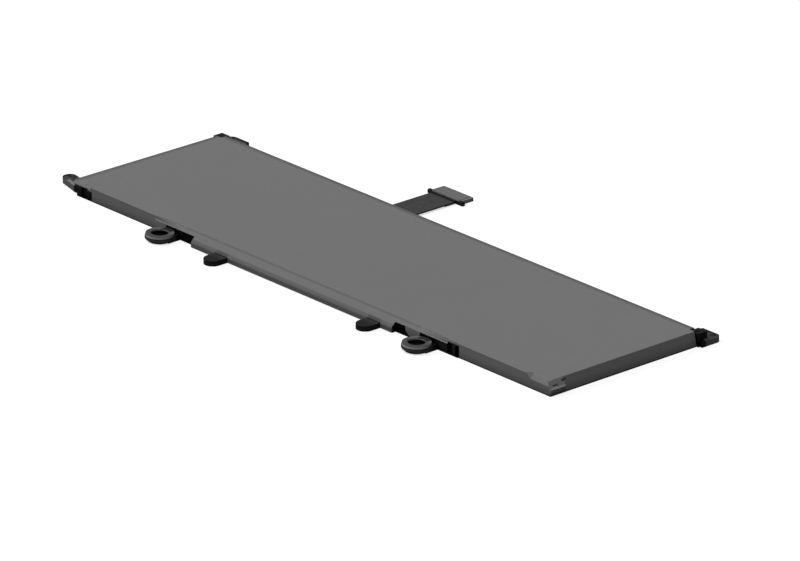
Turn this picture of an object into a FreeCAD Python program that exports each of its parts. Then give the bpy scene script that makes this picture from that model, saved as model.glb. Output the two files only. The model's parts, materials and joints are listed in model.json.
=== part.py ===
"""Slim laptop battery pack: a moulded frame with three pouch cells under a folded film.

Frame of the model: X runs along the pack, Y points to the edge that the cable leaves from and Z is up.
The origin is at the middle of the slab, on the surface that the pack lies on.
"""
import FreeCAD, Part
import math
import os

import Sketcher
from FreeCAD import Vector

# Driving dimensions in millimetres. A place along the pack is its distance from the nearer end of the slab,
# and the name says which end.
SIZES = {
    # slab
    "slab_length": 280.0,
    "slab_width": 78.0,
    "slab_height": 6.0,
    "end_flare": 1.5,
    # films
    "film_thickness": 0.2,
    "film_lift": 0.5,
    "base_film_thickness": 0.2,
    "base_film_rim": 0.8,
    "base_film_gap": 0.2,
    "base_film_corner": 2.5,
    # folds along the front edge
    "crease_inset": 1.4,
    "fold_reach": 0.4,
    "fold_from_left": 52.0,
    "crease_from_left": 68.0,
    "crease_from_right": 73.0,
    "fold_from_right": 50.0,
    "corner_fold_inset": 1.9,
    "corner_fold_length": 12.0,
    "ledge_reach": 2.1,
    "ledge_from_left": 76.0,
    "ledge_from_right": 85.5,
    # rails and bays of the frame
    "end_rail": 2.2,
    "front_rail": 1.8,
    "back_rail": 1.6,
    "cell_rib": 1.6,
    "board_rib": 1.2,
    "bay_corner": 1.5,
    "board_bay_width": 10.2,
    "board_bay_inset": 19.0,
    "board_floor": 1.0,
    "corner_bay_length": 14.0,
    # cells
    "cell_gap": 0.6,
    "cell_thickness": 5.0,
    "cell_corner": 2.0,
    "cell_edge": 0.9,
    "terrace_length": 3.7,
    "terrace_thickness": 0.55,
    "terrace_inset": 1.5,
    "seal_width": 0.35,
    "seal_height": 3.0,
    "adhesive_thickness": 0.15,
    "adhesive_length": 76.0,
    "adhesive_width": 46.0,
    # tabs and pads
    "tab_spacing": 32.0,
    "tab_width": 4.0,
    "tab_length": 6.1,
    "tab_thickness": 0.15,
    "pad_length": 5.0,
    "pad_width": 3.2,
    "pad_thickness": 0.3,
    "tape_thickness": 0.1,
    "tape_margin": 2.5,
    "notch_margin": 3.0,
    "notch_drop": 0.1,
    # board
    "board_gap": 0.4,
    "board_end_gap": 2.0,
    "board_thickness": 0.8,
    "post_diameter": 1.6,
    "post_hole": 2.0,
    "post_height": 1.4,
    "post_inset": 4.0,
    "clip_length": 4.0,
    "clip_reach": 0.7,
    "clip_thickness": 0.6,
    "clip_gap": 0.1,
    "clip_from_end": 78.0,
    # ring lugs
    "lug_from_left": 61.7,
    "lug_from_right": 66.7,
    "lug_offset": 6.2,
    "lug_radius": 6.0,
    "lug_height": 2.3,
    "lug_chamfer": 1.3,
    "neck_width": 10.6,
    "bush_radius": 5.7,
    "bush_flange": 1.0,
    "barrel_radius": 4.3,
    "barrel_gap": 0.05,
    "barrel_depth": 1.5,
    "head_radius": 3.6,
    "head_depth": 1.8,
    "screw_radius": 1.4,
    # small tabs
    "stop_from_left": 94.2,
    "stop_from_right": 95.9,
    "stop_radius": 3.7,
    "stop_offset": 6.5,
    "stop_height": 2.2,
    # ears at the corners
    "back_ear_length": 10.5,
    "back_ear_reach": 8.7,
    "back_ear_height": 2.3,
    "back_ear_corner": 2.5,
    "back_ear_overhang": 3.5,
    "pin_hole_radius": 1.2,
    "block_length": 5.0,
    "block_width": 4.8,
    "block_overhang": 2.2,
    "block_top": 5.5,
    "ear_gap": 0.1,
    "front_ear_reach": 13.3,
    "front_ear_root_near": 1.7,
    "front_ear_root_far": 8.0,
    "front_ear_tip_near": 5.1,
    "front_ear_tip_far": 10.9,
    "front_ear_corner": 2.7,
    "front_ear_height": 2.6,
    # openings in the film's front fold that show a snap post of the frame
    "window_left_end": 12.3,
    "post_left_start": 2.6,
    "post_left_end": 5.4,
    "window_right_start": 56.0,
    "window_right_end": 49.5,
    "post_right_start": 53.3,
    "post_right_end": 51.6,
    "window_top": 5.0,
    "window_bottom": 0.6,
    "window_depth": 0.9,
    "corner_relief_depth": 1.7,
    # cable and plug
    "cable_from_left": 102.0,
    "cable_width": 14.8,
    "cable_thickness": 0.4,
    "cable_reach": 29.3,
    "cable_overlap": 8.0,
    "slot_gap": 0.3,
    "slot_floor_gap": 0.1,
    "plug_insert": 2.6,
    "stiffener_length": 6.0,
    "stiffener_thickness": 0.25,
    "plug_from_left": 102.6,
    "plug_length": 17.4,
    "plug_width": 7.4,
    "plug_height": 1.5,
    "plug_mouth": 3.2,
    "plug_wall": 0.35,
    "mouth_inset": 0.8,
    "shell_thickness": 0.2,
    "shell_inset": 0.5,
    "latch_length": 1.7,
    "latch_width": 1.4,
    "latch_height": 1.6,
    "contact_pitch": 1.8,
    "contact_width": 0.7,
    "contact_thickness": 0.2,
    "contact_gap": 0.05,
}
CELL_COUNT = 3
CONTACT_COUNT = 8
CLIP_COUNT = 3
TOLERANCE = 1e-9
EDGE_SLACK = 1e-6

doc = FreeCAD.newDocument("laptop_battery")
finished = []


class Size:
    """A length that carries both its number and the expression that ties it to the sheet."""

    def __init__(self, value, text):
        self.value = value
        self.text = text

    def __add__(self, other):
        other = as_size(other)
        return Size(self.value + other.value, f"({self.text} + {other.text})")

    def __sub__(self, other):
        other = as_size(other)
        return Size(self.value - other.value, f"({self.text} - {other.text})")

    def __mul__(self, other):
        other = as_size(other)
        return Size(self.value * other.value, f"({self.text} * {other.text})")

    def __truediv__(self, other):
        other = as_size(other)
        return Size(self.value / other.value, f"({self.text} / {other.text})")

    def __neg__(self):
        return Size(-self.value, f"(0 - {self.text})")

    __radd__ = __add__
    __rmul__ = __mul__


def as_size(item):
    """Let a plain number stand in a sum with sizes."""
    if isinstance(item, Size):
        return item
    if item < 0:
        return Size(item, f"(0 - {-item:.9f})")
    return Size(item, f"{item:.9f}")


def make_sheet():
    """Write the driving dimensions into the sheet and return them as sizes."""
    sheet = doc.addObject("Spreadsheet::Sheet", "Sizes")
    for row, (name, value) in enumerate(SIZES.items(), start=1):
        sheet.set(f"A{row}", name)
        sheet.set(f"B{row}", str(value))
        sheet.setAlias(f"B{row}", name)
    doc.recompute()
    return {name: Size(value, f"Sizes.{name}") for name, value in SIZES.items()}


S = make_sheet()

# Places that several pieces share
half_length = S["slab_length"] / 2
half_width = S["slab_width"] / 2
fold_left = S["fold_from_left"] - half_length
crease_left = S["crease_from_left"] - half_length
ledge_left = S["ledge_from_left"] - half_length
ledge_right = half_length - S["ledge_from_right"]
crease_right = half_length - S["crease_from_right"]
fold_right = half_length - S["fold_from_right"]
lug_left = S["lug_from_left"] - half_length
lug_right = half_length - S["lug_from_right"]
lug_y = -(half_width + S["lug_offset"])
cable_middle = S["cable_from_left"] - half_length
plug_middle = S["plug_from_left"] - half_length
film = S["film_thickness"]
frame_top = S["slab_height"] - film
frame_front = -(half_width - film)
frame_back = half_width - film
bay_front = frame_front + S["front_rail"]
bay_half_length = half_length - film - S["end_rail"]
board_bay_back = frame_back - S["back_rail"]
board_bay_front = board_bay_back - S["board_bay_width"]
bay_back = board_bay_front - S["board_rib"]
bay_length = (bay_half_length * 2 - S["cell_rib"] * (CELL_COUNT - 1)) / CELL_COUNT
bay_pitch = bay_length + S["cell_rib"]
board_top = S["board_floor"] + S["board_thickness"]
pad_top = board_top + S["pad_thickness"]
tab_top = pad_top + S["tab_thickness"]
cell_bottom = S["base_film_thickness"] + S["adhesive_thickness"]
cell_front = bay_front + S["cell_gap"]
cell_back = bay_back - S["cell_gap"] / 2
cable_top = S["board_floor"]
cable_bottom = cable_top - S["cable_thickness"]
plug_front = half_width + S["cable_reach"]
plug_back = plug_front + S["plug_width"]
terrace_bottom = (pad_top + tab_top) / 2 - S["terrace_thickness"] / 2
board_bay_end = half_length - S["board_bay_inset"]
board_half_length = board_bay_end - S["board_end_gap"]
board_middle = (board_bay_front + board_bay_back) / 2
block_end = half_length + S["block_overhang"]
block_start = block_end - S["block_length"]
block_front = half_width + S["block_overhang"] - S["block_width"]
block_back = half_width + S["block_overhang"]
back_ear_end = half_length + S["back_ear_overhang"]
back_ear_start = back_ear_end - S["back_ear_length"]
back_ear_back = half_width + S["back_ear_reach"]
window_start = -(half_length + S["end_flare"] * 2)
left_window = (
    window_start,
    S["post_left_start"] - half_length,
    S["post_left_end"] - half_length,
    S["window_left_end"] - half_length,
)
right_window = (
    half_length - S["window_right_start"],
    half_length - S["post_right_start"],
    half_length - S["post_right_end"],
    half_length - S["window_right_end"],
)
windows = (("left", left_window), ("right", right_window))


def new_body(name):
    body = doc.addObject("PartDesign::Body", name)
    body.Label = name
    return body


def new_sketch(body, name, role, height=0.0, shift=0.0):
    """Open a sketch on an origin plane of the body, moved by height along its normal and by shift along X."""
    sketch = body.newObject("Sketcher::SketchObject", name)
    plane = [item for item in body.Origin.OriginFeatures if item.Role == role][0]
    sketch.AttachmentSupport = [(plane, "")]
    sketch.MapMode = "FlatFace"
    sketch.setExpression("AttachmentOffset.Base.z", as_size(height).text)
    sketch.setExpression("AttachmentOffset.Base.x", as_size(shift).text)
    return sketch


def hold_point(sketch, geometry, corner, point):
    """Fix a point of the sketch at its own two sizes."""
    for kind, axis, size in zip(("DistanceX", "DistanceY"), (-2, -1), point):
        size = as_size(size)
        if abs(size.value) < TOLERANCE:
            sketch.addConstraint(Sketcher.Constraint("PointOnObject", geometry, corner, axis))
            continue
        row = sketch.addConstraint(Sketcher.Constraint(kind, -1, 1, geometry, corner, size.value))
        sketch.setExpression(f"Constraints[{row}]", size.text)


def draw_outline(sketch, points):
    """Draw a closed outline of straight lines through the points."""
    places = [Vector(as_size(x).value, as_size(y).value, 0) for x, y in points]
    first = sketch.GeometryCount
    count = len(points)
    for row in range(count):
        sketch.addGeometry(Part.LineSegment(places[row], places[(row + 1) % count]), False)
    for row in range(count):
        following = first + (row + 1) % count
        sketch.addConstraint(Sketcher.Constraint("Coincident", first + row, 2, following, 1))
    for row, point in enumerate(points):
        hold_point(sketch, first + row, 1, point)


def draw_box(sketch, low, high):
    """Draw a rectangle between two opposite corners."""
    draw_outline(sketch, [low, (high[0], low[1]), high, (low[0], high[1])])


def draw_circle(sketch, centre, radius):
    place = Vector(as_size(centre[0]).value, as_size(centre[1]).value, 0)
    radius = as_size(radius)
    row = sketch.addGeometry(Part.Circle(place, Vector(0, 0, 1), radius.value), False)
    hold_point(sketch, row, 3, centre)
    held = sketch.addConstraint(Sketcher.Constraint("Radius", row, radius.value))
    sketch.setExpression(f"Constraints[{held}]", radius.text)


def add_pad(body, name, sketch, length, midplane=False):
    """Raise the sketch along its normal."""
    pad = body.newObject("PartDesign::Pad", name)
    pad.Profile = sketch
    pad.setExpression("Length", as_size(length).text)
    if midplane:
        pad.SideType = "Symmetric"
    sketch.Visibility = False
    body.Tip = pad
    return pad


def add_pocket(body, name, sketch, depth, along_normal=False):
    """Cut the sketch against its normal, or along it."""
    pocket = body.newObject("PartDesign::Pocket", name)
    pocket.Profile = sketch
    pocket.Reversed = along_normal
    pocket.setExpression("Length", as_size(depth).text)
    sketch.Visibility = False
    body.Tip = pocket
    return pocket


def add_turned(body, name, sketch):
    """Turn the sketch once round its own upright axis."""
    turned = body.newObject("PartDesign::Revolution", name)
    turned.Profile = sketch
    turned.ReferenceAxis = (sketch, ["V_Axis"])
    turned.Angle = 360.0
    sketch.Visibility = False
    body.Tip = turned
    return turned


def add_row(body, name, features, spacing, count):
    """Repeat features along X."""
    doc.recompute()
    axis = [item for item in body.Origin.OriginFeatures if item.Role == "X_Axis"][0]
    row = body.newObject("PartDesign::LinearPattern", name)
    row.Originals = features
    row.Direction = (axis, [""])
    row.Mode = "Spacing"
    row.setExpression("Offset", as_size(spacing).text)
    row.Occurrences = count
    body.Tip = row
    return row


def add_mirror(body, name, features):
    """Repeat features on the other side of the middle plane across X."""
    doc.recompute()
    plane = [item for item in body.Origin.OriginFeatures if item.Role == "YZ_Plane"][0]
    mirror = body.newObject("PartDesign::Mirrored", name)
    mirror.Originals = features
    mirror.MirrorPlane = (plane, [""])
    body.Tip = mirror
    return mirror


def add_fillet(body, name, radius, wanted):
    """Round the edges of the body so far that the test wants."""
    doc.recompute()
    base = body.Tip
    edges = [f"Edge{row}" for row, edge in enumerate(base.Shape.Edges, start=1) if wanted(edge)]
    fillet = body.newObject("PartDesign::Fillet", name)
    fillet.Base = (base, edges)
    fillet.setExpression("Radius", as_size(radius).text)
    body.Tip = fillet
    return fillet


def is_upright(edge):
    box = edge.BoundBox
    return box.XLength < EDGE_SLACK and box.YLength < EDGE_SLACK and box.ZLength > EDGE_SLACK


def lies_at(edge, height):
    box = edge.BoundBox
    return box.ZLength < EDGE_SLACK and abs(box.ZMin - as_size(height).value) < EDGE_SLACK


def finish(piece, name):
    """Name a finished sub-part and keep it for export."""
    piece.Label = name
    finished.append(piece)
    return piece


def box_body(name, low, high):
    """Make a plain block between two corners as a body."""
    body = new_body(name)
    sketch = new_sketch(body, f"{name}_plan", "XY_Plane", low[2])
    draw_box(sketch, low[:2], high[:2])
    add_pad(body, f"{name}_block", sketch, high[2] - low[2])
    return body


# Slab with its folded front edge. The film has this form outside, and the frame has it one film further in.


def slope_top(inset):
    """Where the 45 degree slope meets the top: distance in Y from the middle."""
    return half_width - S["crease_inset"] - inset * math.tan(math.radians(22.5))


def add_slab(body, inset, bottom):
    """Build the slab with its ledge and front slope, every wall moved in by inset."""
    name = body.Name
    top = S["slab_height"] - inset
    flare_slope = S["end_flare"] / S["slab_height"]
    end_bottom = half_length + S["end_flare"] - flare_slope * bottom - inset
    end_top = half_length + flare_slope * inset - inset
    section = new_sketch(body, f"{name}_slab_section", "XZ_Plane")
    draw_outline(section, [(-end_bottom, bottom), (end_bottom, bottom), (end_top, top), (-end_top, top)])
    add_pad(body, f"{name}_slab", section, (half_width - inset) * 2, midplane=True)

    crease = slope_top(inset)
    ledge_wall = half_width + S["ledge_reach"] - inset
    fold_wall = half_width + S["fold_reach"] - inset
    stretches = (
        ("fold_left", fold_left, ledge_left, fold_wall),
        ("ledge", ledge_left, ledge_right, ledge_wall),
        ("fold_right", ledge_right, fold_right, fold_wall),
    )
    for label, start, end, wall in stretches:
        profile = new_sketch(body, f"{name}_{label}_section", "YZ_Plane", start)
        slope_low = top - wall + crease
        draw_outline(profile, [(-crease, bottom), (-wall, bottom), (-wall, slope_low), (-crease, top)])
        add_pad(body, f"{name}_{label}", profile, end - start)

    fold_low = top - fold_wall + crease
    middle = new_sketch(body, f"{name}_slope_section", "YZ_Plane", crease_left)
    draw_outline(middle, [(-crease, top), (-fold_wall, top), (-fold_wall, fold_low)])
    add_pocket(body, f"{name}_slope", middle, crease_right - crease_left, along_normal=True)

    edge = half_width - inset
    run_outs = (("left", crease_left, fold_left), ("right", crease_right, fold_right))
    for label, start, end in run_outs:
        wide = new_sketch(body, f"{name}_run_out_{label}_wide", "YZ_Plane", start)
        draw_outline(wide, [(-crease, top), (-fold_wall, top), (-fold_wall, fold_low)])
        narrow = new_sketch(body, f"{name}_run_out_{label}_narrow", "YZ_Plane", end)
        draw_outline(narrow, [(-edge, top), (-fold_wall, top), (-fold_wall, fold_low)])
        run_out = body.newObject("PartDesign::SubtractiveLoft", f"{name}_run_out_{label}")
        run_out.Profile = wide
        run_out.Sections = [(narrow, [""])]
        run_out.Ruled = True
        body.Tip = run_out

    corner = half_width - S["corner_fold_inset"] - inset * math.tan(math.radians(22.5))
    corner_start = half_length - S["corner_fold_length"]
    fold = new_sketch(body, f"{name}_corner_fold_section", "YZ_Plane", corner_start)
    draw_outline(fold, [(-corner, top), (-edge, top), (-edge, top - edge + corner)])
    corner_length = S["corner_fold_length"] + S["end_flare"]
    corner_fold = add_pocket(body, f"{name}_corner_fold", fold, corner_length, along_normal=True)
    add_mirror(body, f"{name}_corner_folds", [corner_fold])


def make_top_film():
    """Fold the film over the slab: a thin shell, open below, cut back round the lugs and the ledge."""
    outside = new_body("film_outside")
    add_slab(outside, 0.0, S["film_lift"])
    cut_depth = S["ledge_reach"] + film * 3
    cut_plane = half_width - film * 3
    fold_low = S["slab_height"] - S["crease_inset"] - S["fold_reach"]
    ledge_height = S["slab_height"] - S["crease_inset"] - S["ledge_reach"]
    cuts = (
        ("lug_cut_left", fold_left, ledge_left, fold_low),
        ("ledge_cut", ledge_left, ledge_right, ledge_height),
        ("lug_cut_right", ledge_right, fold_right, fold_low),
    )
    for name, start, end, top in cuts:
        sketch = new_sketch(outside, f"film_{name}_outline", "XZ_Plane", cut_plane)
        draw_box(sketch, (start, 0.0), (end, top))
        add_pocket(outside, f"film_{name}", sketch, cut_depth, along_normal=True)
    for label, (start, _, _, end) in windows:
        sketch = new_sketch(outside, f"film_window_{label}_outline", "XZ_Plane", cut_plane)
        draw_box(sketch, (start, 0.0), (end, S["window_top"]))
        add_pocket(outside, f"film_window_{label}", sketch, cut_depth, along_normal=True)
    slot = new_sketch(outside, "film_slot_outline", "XZ_Plane", -cut_plane)
    half_slot = S["cable_width"] / 2 + S["slot_gap"] * 2
    draw_box(
        slot,
        (cable_middle - half_slot, 0.0),
        (cable_middle + half_slot, cable_top + S["slot_gap"]),
    )
    add_pocket(outside, "film_slot", slot, cut_depth)
    block = new_sketch(outside, "film_block_outline", "XY_Plane", S["slab_height"])
    draw_box(block, (block_start, block_front), (block_end, half_width))
    block_cut = add_pocket(outside, "film_block_cut", block, S["slab_height"])
    back_ear = new_sketch(outside, "film_back_ear_outline", "XZ_Plane", -cut_plane)
    draw_box(
        back_ear,
        (back_ear_start - S["ear_gap"], 0.0),
        (block_start, S["back_ear_height"] + S["ear_gap"]),
    )
    back_ear_cut = add_pocket(outside, "film_back_ear_cut", back_ear, cut_depth)
    add_mirror(outside, "film_back_cuts", [block_cut, back_ear_cut])
    end_plane = -(half_length - film * 2)
    front_ear = new_sketch(outside, "film_front_ear_outline", "YZ_Plane", end_plane)
    ear_far = -(half_width - S["front_ear_root_far"]) + S["slot_gap"] * 2
    draw_box(front_ear, (-half_width, 0.0), (ear_far, S["front_ear_height"] + S["ear_gap"]))
    add_pocket(outside, "film_front_ear_cut", front_ear, S["end_flare"] + film * 3)
    corner = new_sketch(outside, "film_corner_outline", "YZ_Plane", end_plane)
    draw_box(corner, (-half_width, 0.0), (frame_front + S["corner_relief_depth"], S["window_top"]))
    add_pocket(outside, "film_corner_cut", corner, S["end_flare"] + film * 3)

    inside = new_body("film_inside")
    add_slab(inside, film, 0.0)
    folded = doc.addObject("Part::Cut", "top_film")
    folded.Base = outside
    folded.Tool = inside
    finish(folded, "top_film")


def add_bays(body):
    """Open the cell bays right through and the board bay down to its floor."""
    bay = new_sketch(body, "bay_plan", "XY_Plane", frame_top)
    draw_box(bay, (-bay_half_length, bay_front), (bay_length - bay_half_length, bay_back))
    bay_cut = add_pocket(body, "bay", bay, frame_top)
    add_row(body, "bays", [bay_cut], bay_pitch, CELL_COUNT)

    board_bay = new_sketch(body, "board_bay_plan", "XY_Plane", frame_top)
    draw_box(board_bay, (-board_bay_end, board_bay_front), (board_bay_end, board_bay_back))
    add_pocket(body, "board_bay", board_bay, frame_top - S["board_floor"])

    corner_bay = new_sketch(body, "corner_bay_plan", "XY_Plane", frame_top)
    corner_start = bay_half_length - S["corner_bay_length"]
    draw_box(corner_bay, (corner_start, board_bay_front), (bay_half_length, board_bay_back))
    corner_cut = add_pocket(body, "corner_bay", corner_bay, frame_top - S["board_floor"])
    add_mirror(body, "corner_bays", [corner_cut])

    def in_bay(edge):
        middle = edge.BoundBox.Center
        inside_x = abs(middle.x) < bay_half_length.value + EDGE_SLACK
        inside_y = bay_front.value - EDGE_SLACK < middle.y < board_bay_back.value + EDGE_SLACK
        return is_upright(edge) and inside_x and inside_y

    add_fillet(body, "bay_corners", S["bay_corner"], in_bay)


def add_board_seat(body):
    """Notch the rib for the cell tabs, and add the posts and clips that hold the board."""
    notch = new_sketch(body, "tab_notch_plan", "XY_Plane", frame_top)
    half_notch = (S["tab_spacing"] + S["tab_width"]) / 2 + S["notch_margin"]
    draw_box(
        notch,
        (-bay_pitch - half_notch, bay_back - S["cell_gap"] / 2),
        (half_notch - bay_pitch, board_bay_front + S["board_gap"] / 2),
    )
    notch_cut = add_pocket(body, "tab_notch", notch, frame_top - pad_top + S["notch_drop"])
    add_row(body, "tab_notches", [notch_cut], bay_pitch, CELL_COUNT)

    post = new_sketch(body, "board_post_plan", "XY_Plane", S["board_floor"])
    draw_circle(post, (board_half_length - S["post_inset"], board_middle), S["post_diameter"] / 2)
    post_pad = add_pad(body, "board_post", post, S["post_height"])
    add_mirror(body, "board_posts", [post_pad])

    clip = new_sketch(body, "board_clip_plan", "XY_Plane", board_top + S["clip_gap"])
    clip_spacing = half_length - S["clip_from_end"]
    clip_start = -clip_spacing - S["clip_length"] / 2
    draw_box(
        clip,
        (clip_start, board_bay_back - S["clip_reach"]),
        (clip_start + S["clip_length"], board_bay_back + film),
    )
    clip_pad = add_pad(body, "board_clip", clip, S["clip_thickness"])
    add_row(body, "board_clips", [clip_pad], clip_spacing, CLIP_COUNT)


def add_cable_slot(body):
    """Cut the floor and the back rail where the flat cable passes under the board."""
    slot = new_sketch(body, "cable_slot_plan", "XY_Plane", cable_top + S["slot_gap"])
    half_slot = S["cable_width"] / 2 + S["slot_gap"]
    draw_box(
        slot,
        (cable_middle - half_slot, half_width - S["cable_overlap"] - S["slot_gap"] * 3),
        (cable_middle + half_slot, half_width),
    )
    add_pocket(body, "cable_slot", slot, S["slot_gap"] + S["cable_thickness"] + S["slot_floor_gap"])


def add_lugs(body):
    """Add the two ring lugs for the screws, each with the seat of its bush."""
    ring = new_sketch(body, "lug_ring_section", "XZ_Plane", -lug_y, lug_left)
    draw_outline(
        ring,
        [
            (0.0, 0.0),
            (S["lug_radius"] - S["lug_chamfer"], 0.0),
            (S["lug_radius"], S["lug_chamfer"]),
            (S["lug_radius"], S["lug_height"]),
            (0.0, S["lug_height"]),
        ],
    )
    ring_turned = add_turned(body, "lug_ring", ring)
    neck = new_sketch(body, "lug_neck_plan", "XY_Plane")
    half_neck = S["neck_width"] / 2
    draw_box(neck, (lug_left - half_neck, lug_y), (lug_left + half_neck, bay_front - film))
    neck_pad = add_pad(body, "lug_neck", neck, S["lug_height"])
    seat = new_sketch(body, "bush_seat_plan", "XY_Plane", S["lug_height"])
    draw_circle(seat, (lug_left, lug_y), S["barrel_radius"] + S["barrel_gap"])
    seat_cut = add_pocket(body, "bush_seat", seat, S["barrel_depth"])
    hole = new_sketch(body, "screw_hole_plan", "XY_Plane", S["lug_height"])
    draw_circle(hole, (lug_left, lug_y), S["screw_radius"])
    hole_cut = add_pocket(body, "screw_hole", hole, S["lug_height"])
    add_row(body, "lugs", [ring_turned, neck_pad, seat_cut, hole_cut], lug_right - lug_left, 2)


def add_stops(body):
    """Add the two small half-round tabs in front of the ledge."""
    stop_y = -(half_width + S["stop_offset"])
    stop_left = S["stop_from_left"] - half_length
    stop_right = half_length - S["stop_from_right"]
    plan = new_sketch(body, "stop_plan", "XY_Plane")
    draw_circle(plan, (stop_left, stop_y), S["stop_radius"])
    disc = add_pad(body, "stop_disc", plan, S["stop_height"])
    root = new_sketch(body, "stop_root_plan", "XY_Plane")
    draw_box(
        root,
        (stop_left - S["stop_radius"], stop_y),
        (stop_left + S["stop_radius"], frame_front),
    )
    root_pad = add_pad(body, "stop_root", root, S["stop_height"])
    add_row(body, "stops", [disc, root_pad], stop_right - stop_left, 2)


def add_ears(body):
    """Add the corner ears with their pin holes, and the blocks behind the film at the back corners."""
    ear = new_sketch(body, "back_ear_plan", "XY_Plane")
    draw_box(ear, (back_ear_start, board_bay_back + film), (back_ear_end, back_ear_back))
    ear_pad = add_pad(body, "back_ear", ear, S["back_ear_height"])
    pin = new_sketch(body, "back_ear_hole_plan", "XY_Plane", S["back_ear_height"])
    pin_place = (back_ear_end - S["back_ear_corner"], back_ear_back - S["back_ear_corner"])
    draw_circle(pin, pin_place, S["pin_hole_radius"])
    pin_cut = add_pocket(body, "back_ear_hole", pin, S["back_ear_height"])
    block = new_sketch(body, "corner_block_plan", "XY_Plane")
    draw_box(block, (block_start + film, block_front + film), (block_end, block_back))
    block_pad = add_pad(body, "corner_block", block, S["block_top"])
    add_mirror(body, "back_ears", [ear_pad, pin_cut, block_pad])

    def ear_corner(edge):
        middle = edge.BoundBox.Center
        at_end = abs(abs(middle.x) - back_ear_end.value) < EDGE_SLACK
        return is_upright(edge) and at_end and abs(middle.y - back_ear_back.value) < EDGE_SLACK

    add_fillet(body, "back_ear_corners", S["back_ear_corner"], ear_corner)

    tip_x = -(half_length + S["front_ear_reach"])
    tip_near = -(half_width - S["front_ear_tip_near"])
    tip_far = -(half_width - S["front_ear_tip_far"])
    root_near = -(half_width - S["front_ear_root_near"])
    root_far = -(half_width - S["front_ear_root_far"])
    front_ear = new_sketch(body, "front_ear_plan", "XY_Plane")
    draw_outline(
        front_ear,
        [
            (tip_x, tip_near),
            (-half_length, root_near),
            (-bay_half_length, root_near),
            (-bay_half_length, root_far),
            (-half_length, root_far),
            (tip_x, tip_far),
        ],
    )
    add_pad(body, "front_ear", front_ear, S["front_ear_height"])

    def at_tip(edge):
        return is_upright(edge) and abs(edge.BoundBox.Center.x - tip_x.value) < EDGE_SLACK

    add_fillet(body, "front_ear_corners", S["front_ear_corner"], at_tip)
    hole = new_sketch(body, "front_ear_hole_plan", "XY_Plane", S["front_ear_height"])
    hole_place = (tip_x + S["front_ear_corner"], (tip_near + tip_far) / 2)
    draw_circle(hole, hole_place, S["pin_hole_radius"])
    add_pocket(body, "front_ear_hole", hole, S["front_ear_height"])


def add_windows(body):
    """Recess the front rail behind each opening of the film and leave a snap post in it."""
    low = S["window_bottom"]
    high = S["window_top"] - film
    recess_plane = -frame_front - S["window_depth"]
    recess_depth = S["window_depth"] + S["fold_reach"] * 2
    for label, (start, post_start, post_end, end) in windows:
        sketch = new_sketch(body, f"window_{label}_outline", "XZ_Plane", recess_plane)
        draw_box(sketch, (start, low), (post_start, high))
        draw_box(sketch, (post_end, low), (end, high))
        add_pocket(body, f"window_{label}", sketch, recess_depth, along_normal=True)
    relief_plane = -frame_front - S["corner_relief_depth"]
    relief = new_sketch(body, "corner_relief_outline", "XZ_Plane", relief_plane)
    draw_box(relief, (window_start, -low), (left_window[1], high))
    add_pocket(body, "corner_relief", relief, S["corner_relief_depth"] + S["fold_reach"], along_normal=True)


def make_frame():
    """Mould the frame: rails, ribs, bays, ledge, lugs, stops, ears and the seat of the bottom film."""
    body = new_body("frame")
    add_slab(body, film, 0.0)
    add_lugs(body)
    add_stops(body)
    add_ears(body)
    add_bays(body)
    add_board_seat(body)
    add_cable_slot(body)
    add_windows(body)
    recess = new_sketch(body, "base_film_seat_plan", "XY_Plane")
    seat_x = half_length - film - S["base_film_rim"]
    seat_y = frame_back - S["base_film_rim"]
    draw_box(recess, (-seat_x, -seat_y), (seat_x, seat_y))
    add_pocket(body, "base_film_seat", recess, S["base_film_thickness"], along_normal=True)
    finish(body, "frame")


def make_bottom_film():
    seat_x = half_length - film - S["base_film_rim"] - S["base_film_gap"]
    seat_y = frame_back - S["base_film_rim"] - S["base_film_gap"]
    low = (-seat_x, -seat_y, as_size(0.0))
    body = box_body("bottom_film", low, (seat_x, seat_y, S["base_film_thickness"]))
    add_fillet(body, "bottom_film_corners", S["base_film_corner"], is_upright)
    finish(body, "bottom_film")


def cell_middle(row):
    """X of the middle of a cell bay, counted from the left."""
    return bay_pitch * (row - (CELL_COUNT - 1) / 2)


def make_cell(row):
    """Press the pouch: a rounded block with folded side seals and a thin terrace at the tab end."""
    name = f"cell_{row + 1}"
    body = new_body(name)
    half_cell = bay_length / 2 - S["cell_gap"]
    terrace_start = cell_back - S["terrace_length"]
    plan = new_sketch(body, f"{name}_plan", "XY_Plane", cell_bottom)
    half_core = half_cell - S["seal_width"]
    draw_box(plan, (-half_core, cell_front), (half_core, terrace_start))
    add_pad(body, f"{name}_core", plan, S["cell_thickness"])
    add_fillet(body, f"{name}_corners", S["cell_corner"], is_upright)

    def flat_rim(edge):
        return lies_at(edge, cell_bottom) or lies_at(edge, cell_bottom + S["cell_thickness"])

    add_fillet(body, f"{name}_edges", S["cell_edge"], flat_rim)
    terrace = new_sketch(body, f"{name}_terrace_plan", "XY_Plane", terrace_bottom)
    half_terrace = half_core - S["terrace_inset"]
    draw_box(terrace, (-half_terrace, terrace_start - S["cell_edge"]), (half_terrace, cell_back))
    add_pad(body, f"{name}_terrace", terrace, S["terrace_thickness"])
    seals = new_sketch(body, f"{name}_seal_plan", "XY_Plane", cell_bottom + S["cell_edge"])
    seal_front = cell_front + S["cell_corner"]
    seal_back = terrace_start - S["cell_corner"]
    draw_box(seals, (half_core - S["seal_width"], seal_front), (half_cell, seal_back))
    draw_box(seals, (-half_cell, seal_front), (S["seal_width"] - half_core, seal_back))
    add_pad(body, f"{name}_seals", seals, S["seal_height"])
    body.setExpression("Placement.Base.x", cell_middle(row).text)
    finish(body, name)


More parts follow.
